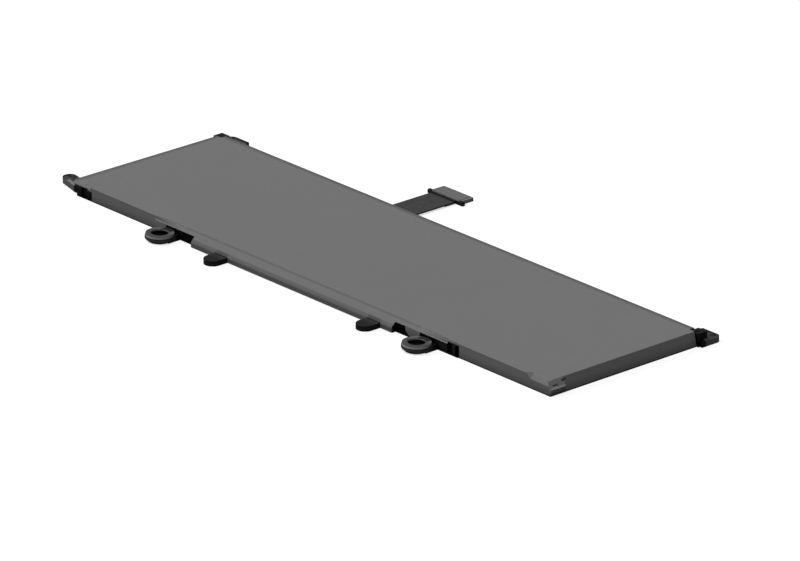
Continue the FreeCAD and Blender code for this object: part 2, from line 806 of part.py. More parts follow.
def make_cell_parts(row):
    """Adhesive under the cell, its two tabs, their weld pads and the tape over them."""
    middle = cell_middle(row)
    cell_centre = (cell_front + cell_back) / 2
    half_adhesive = S["adhesive_length"] / 2
    adhesive = box_body(
        f"cell_adhesive_{row + 1}",
        (-half_adhesive, cell_centre - S["adhesive_width"] / 2, S["base_film_thickness"]),
        (half_adhesive, cell_centre + S["adhesive_width"] / 2, cell_bottom),
    )
    adhesive.setExpression("Placement.Base.x", middle.text)
    finish(adhesive, f"cell_adhesive_{row + 1}")
    tab_end = cell_back + S["tab_length"]
    for number, (kind, side) in enumerate((("positive", -0.5), ("negative", 0.5))):
        tab_middle = middle + S["tab_spacing"] * side
        tab = box_body(
            f"{kind}_tab_{row + 1}",
            (-S["tab_width"] / 2, cell_back, pad_top),
            (S["tab_width"] / 2, tab_end, tab_top),
        )
        tab.setExpression("Placement.Base.x", tab_middle.text)
        finish(tab, f"{kind}_tab_{row + 1}")
        pad_number = row * 2 + number + 1
        pad = box_body(
            f"weld_pad_{pad_number}",
            (-S["pad_length"] / 2, tab_end - S["pad_width"], board_top),
            (S["pad_length"] / 2, tab_end, pad_top),
        )
        pad.setExpression("Placement.Base.x", tab_middle.text)
        finish(pad, f"weld_pad_{pad_number}")
    half_tape = (S["tab_spacing"] + S["tab_width"]) / 2 + S["tape_margin"]
    tape = box_body(
        f"tab_tape_{row + 1}",
        (-half_tape, cell_back + S["cell_gap"] / 2, tab_top),
        (half_tape, tab_end + S["tape_margin"] / 4, tab_top + S["tape_thickness"]),
    )
    tape.setExpression("Placement.Base.x", middle.text)
    finish(tape, f"tab_tape_{row + 1}")


def make_board():
    """Cut the board strip with its two post holes and chamfered corners."""
    body = box_body(
        "protection_board",
        (-board_half_length, board_bay_front + S["board_gap"], S["board_floor"]),
        (board_half_length, board_bay_back - S["board_gap"], board_top),
    )
    hole = new_sketch(body, "board_hole_plan", "XY_Plane", board_top)
    draw_circle(hole, (board_half_length - S["post_inset"], board_middle), S["post_hole"] / 2)
    hole_cut = add_pocket(body, "board_hole", hole, S["board_thickness"])
    add_mirror(body, "board_holes", [hole_cut])
    add_fillet(body, "board_corners", S["board_gap"] * 2, is_upright)
    finish(body, "protection_board")


# Parts on the board: name, which space between two rows of weld pads, place along and across that space,
# length, width and height
LEFT_SPACE = -0.5
RIGHT_SPACE = 0.5
BOARD_PARTS = (
    ("gauge_chip", LEFT_SPACE, -12.0, 0.5, 4.0, 4.0, 0.85),
    ("protector_chip", LEFT_SPACE, -5.5, 0.5, 2.0, 3.0, 0.8),
    ("capacitor_1", LEFT_SPACE, -15.5, 0.5, 0.8, 1.6, 0.8),
    ("capacitor_2", LEFT_SPACE, -17.5, 0.5, 0.8, 1.6, 0.8),
    ("capacitor_3", LEFT_SPACE, -8.3, 0.5, 0.8, 1.6, 0.8),
    ("thermistor", RIGHT_SPACE, -16.0, -3.2, 1.6, 0.8, 0.8),
    ("sense_resistor", RIGHT_SPACE, -6.0, 0.0, 6.4, 3.2, 0.6),
    ("capacitor_4", RIGHT_SPACE, -0.6, 0.5, 0.8, 1.6, 0.8),
    ("discharge_mosfet", RIGHT_SPACE, 4.4, 0.0, 3.3, 3.3, 0.9),
    ("charge_mosfet", RIGHT_SPACE, 9.9, 0.0, 3.3, 3.3, 0.9),
    ("chip_fuse", RIGHT_SPACE, 16.4, 0.0, 4.0, 3.0, 0.8),
)


def make_board_part(name, space, along, across, length, width, height):
    """Make one packaged component, its size kept on the block itself."""
    block = doc.addObject("Part::Box", name)
    block.Length = length
    block.Width = width
    block.Height = height
    block.setExpression("Placement.Base.x", f"{(bay_pitch * space + along).text} - Length / 2mm")
    block.setExpression("Placement.Base.y", f"{(board_middle + across).text} - Width / 2mm")
    block.setExpression("Placement.Base.z", board_top.text)
    finish(block, name)


def make_bush(label, place):
    """Turn the bush that carries the screw head: a flange and a cup with the screw hole."""
    name = f"screw_bush_{label}"
    body = new_body(name)
    floor = S["lug_height"] + S["bush_flange"] - S["head_depth"]
    foot = S["lug_height"] - S["barrel_depth"]
    top = S["lug_height"] + S["bush_flange"]
    section = new_sketch(body, f"{name}_section", "XZ_Plane")
    draw_outline(
        section,
        [
            (S["screw_radius"], foot),
            (S["barrel_radius"], foot),
            (S["barrel_radius"], S["lug_height"]),
            (S["bush_radius"], S["lug_height"]),
            (S["bush_radius"], top),
            (S["head_radius"], top),
            (S["head_radius"], floor),
            (S["screw_radius"], floor),
        ],
    )
    add_turned(body, f"{name}_turned", section)
    body.setExpression("Placement.Base.x", place.text)
    body.setExpression("Placement.Base.y", lug_y.text)
    finish(body, name)


def make_cable():
    """Lay the flat cable from under the board to the plug, with the stiffener below its end."""
    half_cable = S["cable_width"] / 2
    cable = box_body(
        "flex_cable",
        (-half_cable, half_width - S["cable_overlap"], cable_bottom),
        (half_cable, plug_front + S["plug_insert"], cable_top),
    )
    cable.setExpression("Placement.Base.x", cable_middle.text)
    finish(cable, "flex_cable")
    stiffener = box_body(
        "cable_stiffener",
        (-half_cable, plug_front - S["stiffener_length"], cable_bottom - S["stiffener_thickness"]),
        (half_cable, plug_front, cable_bottom),
    )
    stiffener.setExpression("Placement.Base.x", cable_middle.text)
    finish(stiffener, "cable_stiffener")


def make_plug():
    """Mould the plug housing with its cable slot, mating mouth, contact channels and latches."""
    body = box_body(
        "connector_housing",
        (-S["plug_length"] / 2, plug_front, as_size(0.0)),
        (S["plug_length"] / 2, plug_back, S["plug_height"]),
    )
    half_entry = S["cable_width"] / 2 + S["contact_gap"]
    entry_middle = cable_middle - plug_middle
    entry = new_sketch(body, "cable_entry_outline", "XZ_Plane", -plug_front)
    draw_box(
        entry,
        (entry_middle - half_entry, cable_bottom - S["contact_gap"]),
        (entry_middle + half_entry, cable_top + S["contact_thickness"] + S["contact_gap"]),
    )
    add_pocket(body, "cable_entry", entry, S["plug_insert"] + S["contact_gap"])
    half_plug = S["plug_length"] / 2
    half_mouth = half_plug - S["mouth_inset"]
    mouth = new_sketch(body, "mouth_outline", "XZ_Plane", -plug_back)
    draw_box(mouth, (-half_mouth, S["plug_wall"]), (half_mouth, S["plug_height"] - S["plug_wall"] / 2))
    add_pocket(body, "mouth", mouth, S["plug_mouth"], along_normal=True)
    channel = new_sketch(body, "channel_outline", "XZ_Plane", -plug_front)
    first = S["contact_pitch"] * (CONTACT_COUNT - 1) / -2
    half_channel = S["contact_width"] / 2 + S["contact_gap"]
    draw_box(
        channel,
        (first - half_channel, cable_top - S["contact_gap"]),
        (first + half_channel, cable_top + S["contact_thickness"] + S["contact_gap"]),
    )
    channel_cut = add_pocket(body, "channel", channel, S["plug_width"] - S["plug_mouth"] / 2)
    add_row(body, "channels", [channel_cut], S["contact_pitch"], CONTACT_COUNT)
    latch = new_sketch(body, "latch_plan", "XY_Plane")
    draw_box(
        latch,
        (half_plug - S["plug_wall"], plug_front),
        (half_plug + S["latch_length"], plug_front + S["latch_width"]),
    )
    latch_pad = add_pad(body, "latch", latch, S["latch_height"])
    add_mirror(body, "latches", [latch_pad])
    body.setExpression("Placement.Base.x", plug_middle.text)
    finish(body, "connector_housing")

    half_shell = half_plug - S["shell_inset"]
    shell = box_body(
        "connector_shell",
        (-half_shell, plug_front, S["plug_height"]),
        (half_shell, plug_back, S["plug_height"] + S["shell_thickness"]),
    )
    shell.setExpression("Placement.Base.x", plug_middle.text)
    finish(shell, "connector_shell")

    for row in range(CONTACT_COUNT):
        name = f"connector_contact_{row + 1}"
        contact = box_body(
            name,
            (-S["contact_width"] / 2, plug_front + S["contact_gap"] * 4, cable_top),
            (S["contact_width"] / 2, plug_back - S["plug_wall"], cable_top + S["contact_thickness"]),
        )
        place = plug_middle + S["contact_pitch"] * (row - (CONTACT_COUNT - 1) / 2)
        contact.setExpression("Placement.Base.x", place.text)
        finish(contact, name)


def check_document():
    """Stop if a feature failed, a cut removed nothing or a sub-part is not one valid shape."""
    for item in doc.Objects:
        state = [word for word in item.State if word in ("Invalid", "Error")]
        if state:
            raise RuntimeError(f"{item.Name} failed: {state}")
        if item.TypeId in ("PartDesign::Pocket", "PartDesign::SubtractiveLoft"):
            removed = item.BaseFeature.Shape.Volume - item.Shape.Volume
            if removed <= 0:
                raise RuntimeError(f"{item.Name} cuts nothing")
    for piece in finished:
        if piece.Shape.isNull() or not piece.Shape.isValid():
            raise RuntimeError(f"{piece.Label} has no valid shape")


def export_parts():
    os.makedirs("parts", exist_ok=True)
    for piece in finished:
        piece.Shape.exportStep(f"parts/{piece.Label}.step")
        print(piece.Label, len(piece.Shape.Solids), round(piece.Shape.Volume, 2))


def main():
    make_frame()
    make_top_film()
    make_bottom_film()
    for row in range(CELL_COUNT):
        make_cell(row)
        make_cell_parts(row)
    make_board()
    for part in BOARD_PARTS:
        make_board_part(*part)
    make_bush("left", lug_left)
    make_bush("right", lug_right)
    make_cable()
    make_plug()
    doc.recompute()
    check_document()
    export_parts()


main()
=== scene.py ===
"""Looks of the slim laptop battery pack: materials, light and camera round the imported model."""

import json
import math

import bmesh
import bpy
from mathutils import Matrix, Vector


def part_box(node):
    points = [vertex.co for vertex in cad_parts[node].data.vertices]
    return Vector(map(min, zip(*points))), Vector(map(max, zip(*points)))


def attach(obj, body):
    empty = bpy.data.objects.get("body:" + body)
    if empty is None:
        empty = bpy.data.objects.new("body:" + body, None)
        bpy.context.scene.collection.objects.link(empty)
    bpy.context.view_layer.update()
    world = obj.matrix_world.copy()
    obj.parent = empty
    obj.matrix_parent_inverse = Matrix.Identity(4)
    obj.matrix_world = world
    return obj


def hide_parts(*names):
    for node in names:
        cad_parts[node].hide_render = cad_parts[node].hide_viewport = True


# Places are in the pack's own frame, in metres: X along its length, Y from front to back and Z upwards.
# A shade is a share of a material's colour, and a fade is the width over which one finish passes to the next.
MM = 0.001
TOUCH = 0.01 * MM
THIN_ROUNDING = 0.04 * MM
ROUNDING_SEGMENTS = 2
FINE_FADE = 0.1 * MM
EDGE_FADE = 0.2 * MM
MIDDLE_FADE = 1.0 * MM
WHITE = (1.0, 1.0, 1.0)
OPAQUE = 1.0

# Camera, fitted to the corners of the slab; its lens and sensor are in millimetres
CAMERA_TURN = math.radians(48.414)
CAMERA_RISE = math.radians(21.671)
CAMERA_ROLL = math.radians(-0.127)
CAMERA_DISTANCE = 3.1067
CAMERA_AIM_RIGHT = 0.00849
CAMERA_AIM_UP = -0.00512
LENS = 359.32
SENSOR = 36.0
NEAREST_SEEN = 0.05
FARTHEST_SEEN = 100.0

# Light: each lamp's direction is as long as the lamp's share of a plain exposure
KEY_DIRECTION = Vector((0.072, -0.2045, 0.589))
KEY_SPREAD = math.radians(9.0)
SIDE_DIRECTION = Vector((-0.299, -0.159, 0.266))
SIDE_SPREAD = math.radians(24.0)
FILL_LEVEL = 0.145
BACKDROP_LEVEL = 1.0
FLOOR_SIZE = 24.0
FLOOR_DROP = 0.1 * MM
FLOOR_BOUNCE = 0.10
FLOOR_GLOW = 0.66
FLOOR_PALE = 0.42

# Nodes: sockets of a colour Mix node, the part of a noise that a finish follows, and how far a wall may tilt
MIX_FACTOR, MIX_FIRST, MIX_SECOND, MIX_RESULT = 0, 6, 7, 2
NOISE_LOW = 0.3
NOISE_HIGH = 0.7
WALL_TILT = 0.3
WALL_TILT_FADE = 0.3

# Plastic: how often in a metre its colour, gloss and grain change, and how much
COLOUR_CHANGE = 90.0
GLOSS_CHANGE = 400.0
GLOSS_SPREAD = 0.05
GRAIN = 2500.0
GRAIN_DEPTH = 0.02 * MM
GRAIN_STRENGTH = 0.35

# Metal: fine lines along Y, because the noise changes slowly that way
BRUSH_LINES = (1.0, 0.04, 1.0)
BRUSH_CHANGE = 5000.0
BRUSH_GLOSS_SPREAD = 0.06

# Painted shade along the crease of the film's front fold, inwards from the slab's front
CREASE_INSET = 1.05 * MM
CREASE_REACH = 0.60 * MM
CREASE_START = -70.0 * MM
CREASE_END = 67.0 * MM
CREASE_FADE = 1.5 * MM
CREASE_SHADE = 0.72

# Painted shade on the rim of the film where it bends over the back edge and the left end, in two bands
FILM_TOP = 5.8 * MM
END_TOP_INSET = 1.38 * MM
RIM_WIDTH = 2.3 * MM
RIM_OUTER_WIDTH = 1.2 * MM
RIM_SOFTNESS = 0.3
RIM_SHADE = 0.72
RIM_OUTER_SHADE = 0.50

# Painted shade towards the foot of the film's walls, and on the foot of its slope over the ledge, deeper
# above the stops
WALL_SHADOW_FOOT = 0.4 * MM
WALL_SHADOW_TOP = 3.8 * MM
WALL_SHADOW_SHADE = 0.58
LEDGE_BAND_OUT = 0.9 * MM
LEDGE_BAND_TOP = 3.1 * MM
LEDGE_BAND_FADE = 0.35 * MM
LEDGE_BAND_SHADE = 0.66
ABOVE_STOP_HALF = 3.3 * MM
ABOVE_STOP_SHADE = 0.36

# Painted shadow of a slit in the film's right end wall; its places along Y are from the slab's front
SLIT_START = 6.4 * MM
SLIT_END = 8.8 * MM
SLIT_LOW = 4.6 * MM
SLIT_HIGH = 5.2 * MM
SLIT_SHADE = 0.10

# Rounded folds of the film, and where a painted highlight lies on them
FOLD_ROUNDING = 0.35 * MM
FOLD_SEGMENTS = 3
FOLD_ANGLE = math.radians(20.0)
FOLD_WIDTH = 0.4 * MM
FLAT_ANGLE = math.radians(0.5)
WELD_DISTANCE = 0.001 * MM
HIGHLIT_FOLD_BACK = 38.0 * MM
HIGHLIT_FOLD_LEFT = -139.0 * MM

# Facets at the start of the folds at the two front corners
CORNER_FOLD_START = 128.0 * MM
CORNER_FOLD_RUN_OUT = 2.4 * MM
CORNER_FOLD_INSET = 1.9 * MM
CORNER_FOLD_LAP = 0.04 * MM

# Ledge of the film, with the two stops that stand in front of it
LEDGE_REACH = 2.1 * MM
LEDGE_START = -64.0 * MM
LEDGE_END = 54.5 * MM
STOP_MIDDLES = (-45.8 * MM, 44.1 * MM)
STOP_HALF = 4.2 * MM
STOP_SOFTNESS = 0.2
STOP_ROOT = -41.3 * MM
STOP_TIP = -46.0 * MM
# Painted shade on the stops' tops, darker towards their tips
STOP_ROOT_SHADE = 0.7
STOP_TIP_SHADE = 0.35

# Hem of the film that hangs over the ledge
HEM_STOP_HALF = 3.9 * MM
HEM_STOP_FOOT = 2.21 * MM
HEM_TOP = 2.48 * MM
HEM_BEND = 2.0 * MM
HEM_FOOT = 0.2 * MM
HEM_REACH = 0.32 * MM
HEM_BACK = 0.18 * MM
HEM_ROUNDING = 0.12 * MM

# Tucked fold of the film on the right end wall; its places along Y are from the slab's front
TUCK_START = 0.1 * MM
TUCK_END = 7.5 * MM
TUCK_TOP = 5.8 * MM
TUCK_FOOT = 2.75 * MM
TUCK_SKIRT = 1.5 * MM
TUCK_SKIRT_INSET = 0.12 * MM
TUCK_FOOT_REACH = 1.15 * MM
TUCK_TOP_REACH = 0.03 * MM
TUCK_ROUNDING = 0.05 * MM
WALL_LEAN = 0.25

# Dimple of the tucked fold: its ends along Y, and where its rims lie as shares of the slope's height
DIMPLE_START = 1.6 * MM
DIMPLE_END = 4.2 * MM
DIMPLE_RIM = 0.15 * MM
DIMPLE_DEPTH = 0.55 * MM
DIMPLE_SHARES = (0.2, 0.22, 0.45, 0.50)

# Flaps of the film's front fold that hang down beside the two lugs, as outlines of X and Z
FLAP_THICKNESS = 0.2 * MM
FLAP_OUT = 0.4 * MM
FLAP_TOP = 4.22 * MM
FLAPS = (
    ((-88.0 * MM, FLAP_TOP), (-81.2 * MM, FLAP_TOP), (-81.4 * MM, 2.6 * MM), (-83.9 * MM, 2.4 * MM),
     (-84.2 * MM, 0.5 * MM), (-88.0 * MM, 0.5 * MM)),
    ((60.2 * MM, FLAP_TOP), (68.6 * MM, FLAP_TOP), (68.4 * MM, 2.45 * MM), (67.8 * MM, 2.4 * MM),
     (67.7 * MM, 0.9 * MM), (62.2 * MM, 0.9 * MM), (60.4 * MM, 2.4 * MM)),
)

# Frame: painted shade in its hollows and on its front rail beside the ledge, and painted light on the lugs'
# sides
HOLLOW_REACH = 3.0 * MM
HOLLOW_DARK = 0.45
HOLLOW_LIGHT = 0.9
HOLLOW_SAMPLES = 16
HOLLOW_SHADE = 0.1
RAIL_GAPS = (
    (LEDGE_START - 7.8 * MM, LEDGE_START - EDGE_FADE),
    (LEDGE_END + EDGE_FADE, LEDGE_END + 7.3 * MM),
)
RAIL_GAP_BACK = -37.2 * MM
LUG_SIDE_TOP = 2.1 * MM
LUG_SIDE_Y = -41.8 * MM
LUG_SIDE_SHADE = 1.1

# Ears of the frame, with painted light on their walls, at the front one's root and as a highlight along its
# near edge, and painted shade on their rims and the front one's far half; the front one is measured inwards
# from its slanted near edge
EAR_TOP = 2.7 * MM
EAR_RIM = 1.19 * MM
EAR_RIM_FADE = 0.51 * MM
EAR_RIM_SHADE = 0.3
EAR_WALL_SHADE = 2.4
BACK_EAR_GAP = 0.5 * MM
FRONT_EAR_END = -141.8 * MM
FRONT_EAR_ROOT = (-140.0 * MM, -37.3 * MM)
FRONT_EAR_INWARD = (0.248, 0.969)
FRONT_EAR_SOFTNESS = 0.2
FRONT_EAR_HALF = 2.6 * MM
FRONT_EAR_FAR_SHADE = 0.5
FRONT_EAR_PALE = -143.5 * MM
FRONT_EAR_PALE_FADE = 3.0 * MM
FRONT_EAR_PALE_SHADE = 2.3
FRONT_EAR_EDGE = 1.5 * MM
FRONT_EAR_EDGE_START = -147.5 * MM
FRONT_EAR_EDGE_FADE = 1.0 * MM
FRONT_EAR_EDGE_SHADE = 3.8

# Bushes: a painted highlight on their sides, painted shade on the near half and a painted shadow on the far
# rim of their tops, and painted shade in their cups
BUSHES = ("screw_bush_left", "screw_bush_right")
BUSH_SIDE = 0.2 * MM
BUSH_NEAR_FADE = 1.5 * MM
BUSH_NEAR_SHADE = 0.62
BUSH_NEAR_SHIFT = 2.0 * MM
BUSH_SHIFT_START = -2.5 * MM
BUSH_SHIFT_END = -0.5 * MM
BUSH_RIM = 0.765 * MM
BUSH_RIM_FADE = 0.27 * MM
BUSH_DARK_START = 2.9 * MM
BUSH_DARK_HALF = 2.4 * MM
BUSH_DARK_FADE = 0.6 * MM
BUSH_DARK_SHADE = 0.2
CUP_RADIUS = 3.6 * MM
CUP_FADE = 0.09 * MM
CUP_DEPTH = 0.9 * MM
CUP_SHADE = 0.02

# Flat cable, with painted shade along its margins
CONDUCTOR_COUNT = 8
CONDUCTOR_PITCH = 1.8 * MM
CONDUCTOR_WIDTH = 1.2 * MM
GROOVE_DEPTH = 0.06 * MM
RIB_SLOPE = 0.1 * MM
RIB_SOFTNESS = 0.4
MARGIN_DROP = 0.12 * MM
UNDERSIDE_INSET = 0.3 * MM
UNDERSIDE_RISE = 0.06 * MM
CABLE_MARGIN = 0.54 * MM
CABLE_MARGIN_FADE = 0.36 * MM
CABLE_MARGIN_SHADE = 0.1

# Plug: its cover plate, with heights above the plate's foot, then its skirts and the cable's seal
SHELL_CORNER = 0.5 * MM
SHELL_EDGE_HEIGHT = 0.06 * MM
SHELL_EDGE_INSET = 0.06 * MM
SHELL_BORDER_HEIGHT = 0.096 * MM
SHELL_FIELD_INSET = 0.7 * MM
SHELL_FIELD_SLOPE = 0.2 * MM
SHELL_BORDER = 0.4 * MM
SHELL_BORDER_SHADE = 0.45
SHELL_PATCHES = (0.2, 1.0, 1.0)
SHELL_LINES = (0.1, 1.0, 1.0)
SKIRT_GAP = 0.5 * MM
SKIRT_START = 1.6 * MM
SKIRT_LAP = 0.55 * MM
SKIRT_FOOT = 0.3 * MM
SKIRT_THICKNESS = 0.1 * MM
SEAL_LENGTH = 0.8 * MM
SEAL_CHAMFER = 0.25 * MM
SEAL_INSET = 0.4 * MM

# Tracks of the board, cut out of a wave between -1 and 1
TRACK_PITCH = 1.6 * MM
TRACK_FOOT = 0.1
TRACK_CREST = 0.4
TRACK_SHADE = 1.6

# Creases of the tape, longer along Y
TAPE_CREASES = (1.0, 0.3, 1.0)


class Nodes:
    """Builds the node tree of a material or of the world, one small step a call."""

    def __init__(self, owner, output="ShaderNodeOutputMaterial"):
        owner.use_nodes = True
        self.owner = owner
        self.tree = owner.node_tree
        self.tree.nodes.clear()
        self.output = self.add(output)
        self.position = None

    def add(self, kind, **settings):
        """Make a node and change some of its settings."""
        node = self.tree.nodes.new(kind)
        for key, value in settings.items():
            setattr(node, key, value)
        return node

    def feed(self, socket, source):
        """Set a socket to a plain value, or link it to another socket."""
        if isinstance(source, bpy.types.NodeSocket):
            self.tree.links.new(source, socket)
        elif isinstance(source, tuple) and len(source) == 3:
            socket.default_value = (*source, OPAQUE)
        else:
            socket.default_value = source

    def place(self):
        """Position on the object, in metres."""
        if self.position is None:
            self.position = self.add("ShaderNodeTexCoord").outputs["Object"]
        return self.position

    def component(self, vector, letter):
        """One coordinate of a vector."""
        split = self.add("ShaderNodeSeparateXYZ")
        self.feed(split.inputs[0], vector)
        return split.outputs[letter]

    def axis(self, letter):
        """One coordinate of the position."""
        return self.component(self.place(), letter)

    def offset(self, letter, start):
        """How far the position lies past a start along one axis."""
        return self.math("SUBTRACT", self.axis(letter), start)

    def distance(self, letter, middle):
        """How far the position lies from a middle along one axis, to either side."""
        return self.math("ABSOLUTE", self.offset(letter, middle))

    def upright(self):
        """1 on walls, and 0 on faces that look up or down."""
        normal = self.add("ShaderNodeNewGeometry").outputs["True Normal"]
        facing = self.math("ABSOLUTE", self.component(normal, "Z"))
        return self.below(facing, WALL_TILT, WALL_TILT_FADE)

    def math(self, operation, first, second=0.0):
        """Work out one value from one or two others."""
        node = self.add("ShaderNodeMath", operation=operation)
        self.feed(node.inputs[0], first)
        self.feed(node.inputs[1], second)
        return node.outputs[0]

    def wave(self, letter, crest, pitch):
        """A wave along one axis: 1 at a crest and at each pitch from it, and -1 between."""
        angle = self.math("MULTIPLY", self.offset(letter, crest), 2.0 * math.pi / pitch)
        return self.math("COSINE", angle)

    def all_of(self, first, *others):
        """1 where all masks are 1."""
        for other in others:
            first = self.math("MULTIPLY", first, other)
        return first

    def any_of(self, first, *others):
        """1 where any mask is 1."""
        for other in others:
            first = self.math("MAXIMUM", first, other)
        return first

    def outside(self, mask):
        """1 where a mask is 0."""
        return self.math("SUBTRACT", 1.0, mask)

    def ramp(self, value, low, high, to_low=0.0, to_high=1.0):
        """Smooth step of a value between two limits."""
        node = self.add("ShaderNodeMapRange", interpolation_type="SMOOTHSTEP")
        self.feed(node.inputs["Value"], value)
        self.feed(node.inputs["From Min"], low)
        self.feed(node.inputs["From Max"], high)
        self.feed(node.inputs["To Min"], to_low)
        self.feed(node.inputs["To Max"], to_high)
        return node.outputs["Result"]

    def above(self, value, limit, fade):
        """1 above a limit, which fades to 0 below it."""
        return self.ramp(value, limit - fade, limit)

    def below(self, value, limit, fade):
        """1 below a limit, which fades to 0 above it."""
        return self.ramp(value, limit, limit + fade, 1.0, 0.0)

    def between(self, value, low, high, fade):
        """1 between two limits, which fades to 0 outside them."""
        return self.all_of(self.above(value, low, fade), self.below(value, high, fade))

    def within(self, distance, limit, softness):
        """1 nearer than a limit and 0 beyond it; the change takes a share of the limit to each side."""
        return self.ramp(distance, limit * (1.0 - softness), limit * (1.0 + softness), 1.0, 0.0)

    def noise(self, per_metre, detail=2.0, scales=(1.0, 1.0, 1.0)):
        """Noise about 0.5 that changes so often in a metre; scales change that along each axis."""
        mapping = self.add("ShaderNodeMapping")
        self.feed(mapping.inputs["Vector"], self.place())
        mapping.inputs["Scale"].default_value = scales
        node = self.add("ShaderNodeTexNoise")
        self.feed(node.inputs["Vector"], mapping.outputs[0])
        self.feed(node.inputs["Scale"], per_metre)
        self.feed(node.inputs["Detail"], detail)
        return node.outputs["Fac"]

    def wander(self, noise, low, high):
        """A value that follows a noise between two limits."""
        return self.ramp(noise, NOISE_LOW, NOISE_HIGH, low, high)

    def openness(self, reach):
        """1 where the surface is open, and towards 0 in corners and hollows about as deep as reach."""
        node = self.add("ShaderNodeAmbientOcclusion", samples=HOLLOW_SAMPLES)
        self.feed(node.inputs["Distance"], reach)
        return node.outputs["AO"]

    def mix(self, factor, first, second):
        """Blend two colours."""
        node = self.add("ShaderNodeMix", data_type="RGBA")
        self.feed(node.inputs[MIX_FACTOR], factor)
        self.feed(node.inputs[MIX_FIRST], first)
        self.feed(node.inputs[MIX_SECOND], second)
        return node.outputs[MIX_RESULT]

    def tint(self, value, colour, darkest, lightest):
        """A colour that goes from one shade to another as a value goes from 0 to 1."""
        return self.mix(value, shade(colour, darkest), shade(colour, lightest))

    def paint(self, tone, mask, colour, share):
        """Lay a shade of a colour over a tone where a mask is 1."""
        return self.mix(mask, tone, shade(colour, share))

    def bump(self, height, distance, strength, below=None):
        """Relief of a height, on top of another relief if one is given."""
        node = self.add("ShaderNodeBump")
        self.feed(node.inputs["Height"], height)
        self.feed(node.inputs["Distance"], distance)
        self.feed(node.inputs["Strength"], strength)
        if below is not None:
            self.feed(node.inputs["Normal"], below)
        return node.outputs[0]

    def surface(self, colour, roughness, normal, metallic=0.0, specular=0.5, coat=0.0):
        """Finish the material with its shader."""
        shader = self.add("ShaderNodeBsdfPrincipled")
        self.feed(shader.inputs["Base Color"], colour)
        self.feed(shader.inputs["Roughness"], roughness)
        self.feed(shader.inputs["Normal"], normal)
        self.feed(shader.inputs["Metallic"], metallic)
        self.feed(shader.inputs["Specular IOR Level"], specular)
        self.feed(shader.inputs["Coat Weight"], coat)
        self.feed(self.output.inputs["Surface"], shader.outputs[0])
        return self.owner


def material_nodes(name):
    """An empty node tree of a new material."""
    return Nodes(bpy.data.materials.new(name))


def shade(colour, share):
    """A share of a colour, darker below 1."""
    return tuple(channel * share for channel in colour)


def middle_of(node):
    """Middle of a node's box."""
    low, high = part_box(node)
    return (low + high) / 2


def half_of(node):
    """Half the size of a node's box."""
    low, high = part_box(node)
    return (high - low) / 2


def slab_front():
    """Y of the slab's front wall: the film's lowest Y without its ledge."""
    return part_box("top_film")[0].y + LEDGE_REACH


def plain_surface(name, colour, roughness, grain=GRAIN, grain_depth=GRAIN_DEPTH, mottle=0.06, **finish):
    """A moulded or coated surface: fine grain, slow colour change and uneven gloss."""
    nodes = material_nodes(name)
    tone = nodes.tint(nodes.noise(COLOUR_CHANGE, detail=3.0), colour, 1.0 - mottle, 1.0 + mottle)
    gloss = nodes.wander(nodes.noise(GLOSS_CHANGE), roughness - GLOSS_SPREAD, roughness + GLOSS_SPREAD)
    normal = nodes.bump(nodes.noise(grain, detail=3.0), grain_depth, GRAIN_STRENGTH)
    return nodes.surface(tone, gloss, normal, **finish)


def brushed_surface(name, colour, roughness):
    """Rolled metal with fine lines along Y."""
    nodes = material_nodes(name)
    lines = nodes.noise(BRUSH_CHANGE, scales=BRUSH_LINES)
    tone = nodes.tint(lines, colour, darkest=0.9, lightest=1.08)
    gloss = nodes.wander(lines, roughness - BRUSH_GLOSS_SPREAD, roughness + BRUSH_GLOSS_SPREAD)
    normal = nodes.bump(lines, distance=0.004 * MM, strength=0.4)
    return nodes.surface(tone, gloss, normal, metallic=1.0)


def film_surface(name, colour, with_painted_shade):
    """Satin film with a fine matt tooth, and on the top film its painted shade."""
    nodes = material_nodes(name)
    tone = nodes.tint(nodes.noise(per_metre=22.0, detail=3.0), colour, darkest=0.994, lightest=1.006)
    if with_painted_shade:
        tone = film_painted_shade(nodes, tone, colour)
    gloss = nodes.wander(nodes.noise(per_metre=60.0, detail=3.0), low=0.49, high=0.51)
    normal = nodes.bump(nodes.noise(per_metre=3200.0), distance=0.012 * MM, strength=0.25)
    return nodes.surface(tone, gloss, normal, specular=0.1)


def film_painted_shade(nodes, tone, colour):
    """The top film's painted shade, each patch laid over the one before."""
    outer_rim, whole_rim = rim_shade_bands(nodes)
    ledge, above_stops = ledge_bands(nodes)
    # Painted shade: the film's walls grow darker towards the floor.
    wall_foot_shadow = nodes.ramp(nodes.axis("Z"), WALL_SHADOW_FOOT, WALL_SHADOW_TOP, 1.0, 0.0)
    marks = (
        (crease_shade_line(nodes), CREASE_SHADE),
        (whole_rim, RIM_SHADE),
        (outer_rim, RIM_OUTER_SHADE),
        (slit_shadow(nodes), SLIT_SHADE),
        (wall_foot_shadow, WALL_SHADOW_SHADE),
        (ledge, LEDGE_BAND_SHADE),
        (above_stops, ABOVE_STOP_SHADE),
    )
    for mask, share in marks:
        tone = nodes.paint(tone, mask, colour, share)
    return tone


def crease_shade_line(nodes):
    """Painted shade along the crease of the front fold, which fades out at both ends."""
    line = nodes.below(nodes.distance("Y", slab_front() + CREASE_INSET), 0.0, CREASE_REACH)
    return nodes.all_of(line, nodes.between(nodes.axis("X"), CREASE_START, CREASE_END, CREASE_FADE))


